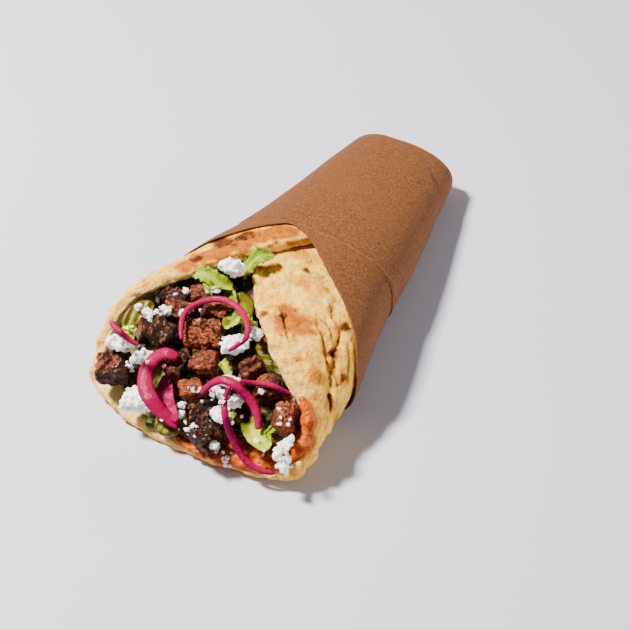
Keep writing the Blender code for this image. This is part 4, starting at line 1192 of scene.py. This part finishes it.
def buildShreds(heap, bed, under, material):
    chosen = []
    for x, y, length, turn, paleness in shreds:
        place, normal = seenAt(under, x, y)
        if place:
            chosen.append((place, normal, length * mm, math.radians(turn), paleness))
    for place, normal in visibleBed(heap, bed, shredStyle["count"]):
        length, turn = chance.uniform(*shredStyle["length"]), chance.uniform(0, 3.14)
        chosen.append((place, normal, length, turn, chance.uniform(0.0, 0.5)))
    shape = bmesh.new()
    leaf, pale = [], []
    for place, normal, length, turn, paleness in chosen:
        normal = normal.lerp(mouth["out"], 0.6).normalized()
        width = chance.uniform(*shredStyle["width"])
        count = addShred(shape, place + normal * 0.0004, normal, length, width, turn)
        for index in range(count):
            leaf.append((index * 0.7, len(leaf) * 0.02, 0))
            pale.append(paleness)
    obj = newPiece("lettuceShreds", shape)
    paint(obj, "leafPlace", leaf)
    paint(obj, "pale", pale)
    paint(obj, "rib", np.zeros(len(pale)))
    paint(obj, "cheese", np.zeros(len(pale)))
    modify(obj, "SOLIDIFY", thickness=shredStyle["thickness"])
    return dress(obj, material, "lettuce_leaf")


# each piece is laid on what is there already
flatbread = buildFlatbread()
buildSleeve()
filled = buildFilling()
fetaMaterial = buildFetaMaterial()
lettuceMaterial = buildLettuceMaterial()
steakMaterial = buildSteakMaterial()
heapPieces = [filled]
heapPieces += buildEach("steak", "searedSteak", "seared_steak", steakMaterial, shapeSteak, steakLooks)
heapPieces += buildEach("pickle", "gherkinSlice", "gherkin", buildGherkinMaterial(), shapeGherkin)
heapPieces += buildEach("lettuce", "lettuceLeaf", "lettuce_leaf", lettuceMaterial, shapeLeaf, leafPaleness)
paste = buildSpread([flatbread, filled], buildSpreadMaterial())
onionMaterial = buildOnionMaterial()
heapPieces.append(paste)
heapPieces += buildEach("onion", "onionStrip", "pickled_onion", onionMaterial, shapeOnion)
firm = [piece for piece in heapPieces if "Leaf" not in piece.name]
heapPieces.append(buildInnerShell(treeOf(firm), onionMaterial))
heapPieces += buildEach("feta", "crumbledFeta", "feta_cheese", fetaMaterial, shapeFeta)
heap = treeOf(heapPieces + [flatbread])
bed = treeOf([filled])
heapPieces.append(buildScraps(heap, bed, steakMaterial))
chunks = [piece for piece in heapPieces if "searedSteak" in piece.name or "gherkin" in piece.name]
under = treeOf([flatbread, filled, paste] + chunks)
heapPieces.append(buildShreds(heap, bed, under, lettuceMaterial))
buildCrumbs(treeOf(heapPieces + [flatbread]), treeOf(heapPieces), fetaMaterial)


# the floor, the lights in watts and metres, and the air
studio = {
    "floor": "#BFBDC6",
    "floorPale": "#C6C4CC",
    "key": 70.0,
    "keySize": 0.2,
    "keyHeight": 56,
    "fill": 2.5,
    "bounce": 38.0,
    "sky": "#E2E3EA",
    "skyStrength": 0.3,
}


def aim(obj, direction, distance):
    # looks at the middle of the part from this distance
    obj.location = view["target"] - direction * distance
    obj.rotation_mode = "QUATERNION"
    obj.rotation_quaternion = direction.to_track_quat("-Z", "Y")
    return obj


def buildStudio():
    bpy.ops.mesh.primitive_plane_add(size=4, location=(0, 0, 0))
    floor = bpy.context.object
    floor.name = "paleFloor"
    material, add, place = newMaterial("paleMattFloor")
    shade = add("Mix", add("TexNoise", place, 1 / 0.4, 2, 0.5), studio["floor"], studio["floorPale"])
    look = {"Base Color": shade, "Roughness": 0.6, "Specular IOR Level": 0.3}
    floor.data.materials.append(finishMaterial(material, add, look))
    right = viewAxes()[0]
    away = Vector((0, 0, 1)).cross(right)
    height = math.radians(studio["keyHeight"])
    level = (-right * 0.98 + away * 0.17).normalized()
    towards = level * math.cos(height) + Vector((0, 0, math.sin(height)))
    fillWay = (right * 0.6 - away * 0.6 + Vector((0, 0, 0.55))).normalized()
    bounceWay = (right + away * 0.1 + Vector((0, 0, 0.06))).normalized()
    for name, direction, distance, power, size in (
        ("keyLight", towards, 1.3, studio["key"], studio["keySize"]),
        ("fillLight", fillWay, 1.6, studio["fill"], 1.2),
        ("rightBounce", bounceWay, 1.6, studio["bounce"], 0.8),
    ):
        lamp = bpy.data.lights.new(name, "AREA")
        lamp.energy = power
        lamp.size = size
        obj = aim(newObject(name, lamp), -direction, distance)
    world = bpy.data.worlds.new("studioAir")
    world.use_nodes = True
    air = world.node_tree.nodes["Background"].inputs
    air["Color"].default_value = webColour(studio["sky"])
    air["Strength"].default_value = studio["skyStrength"]
    bpy.context.scene.world = world


def buildCamera():
    lens = bpy.data.cameras.new("camera")
    lens.lens = view["lens"]
    lens.sensor_width = view["sensor"]
    lens.shift_x = view["shiftX"]
    lens.shift_y = view["shiftY"]
    lens.clip_start = 0.01
    bpy.context.scene.camera = aim(newObject("camera", lens), viewAxes()[2], view["distance"])


buildStudio()
buildCamera()
print("scene done")
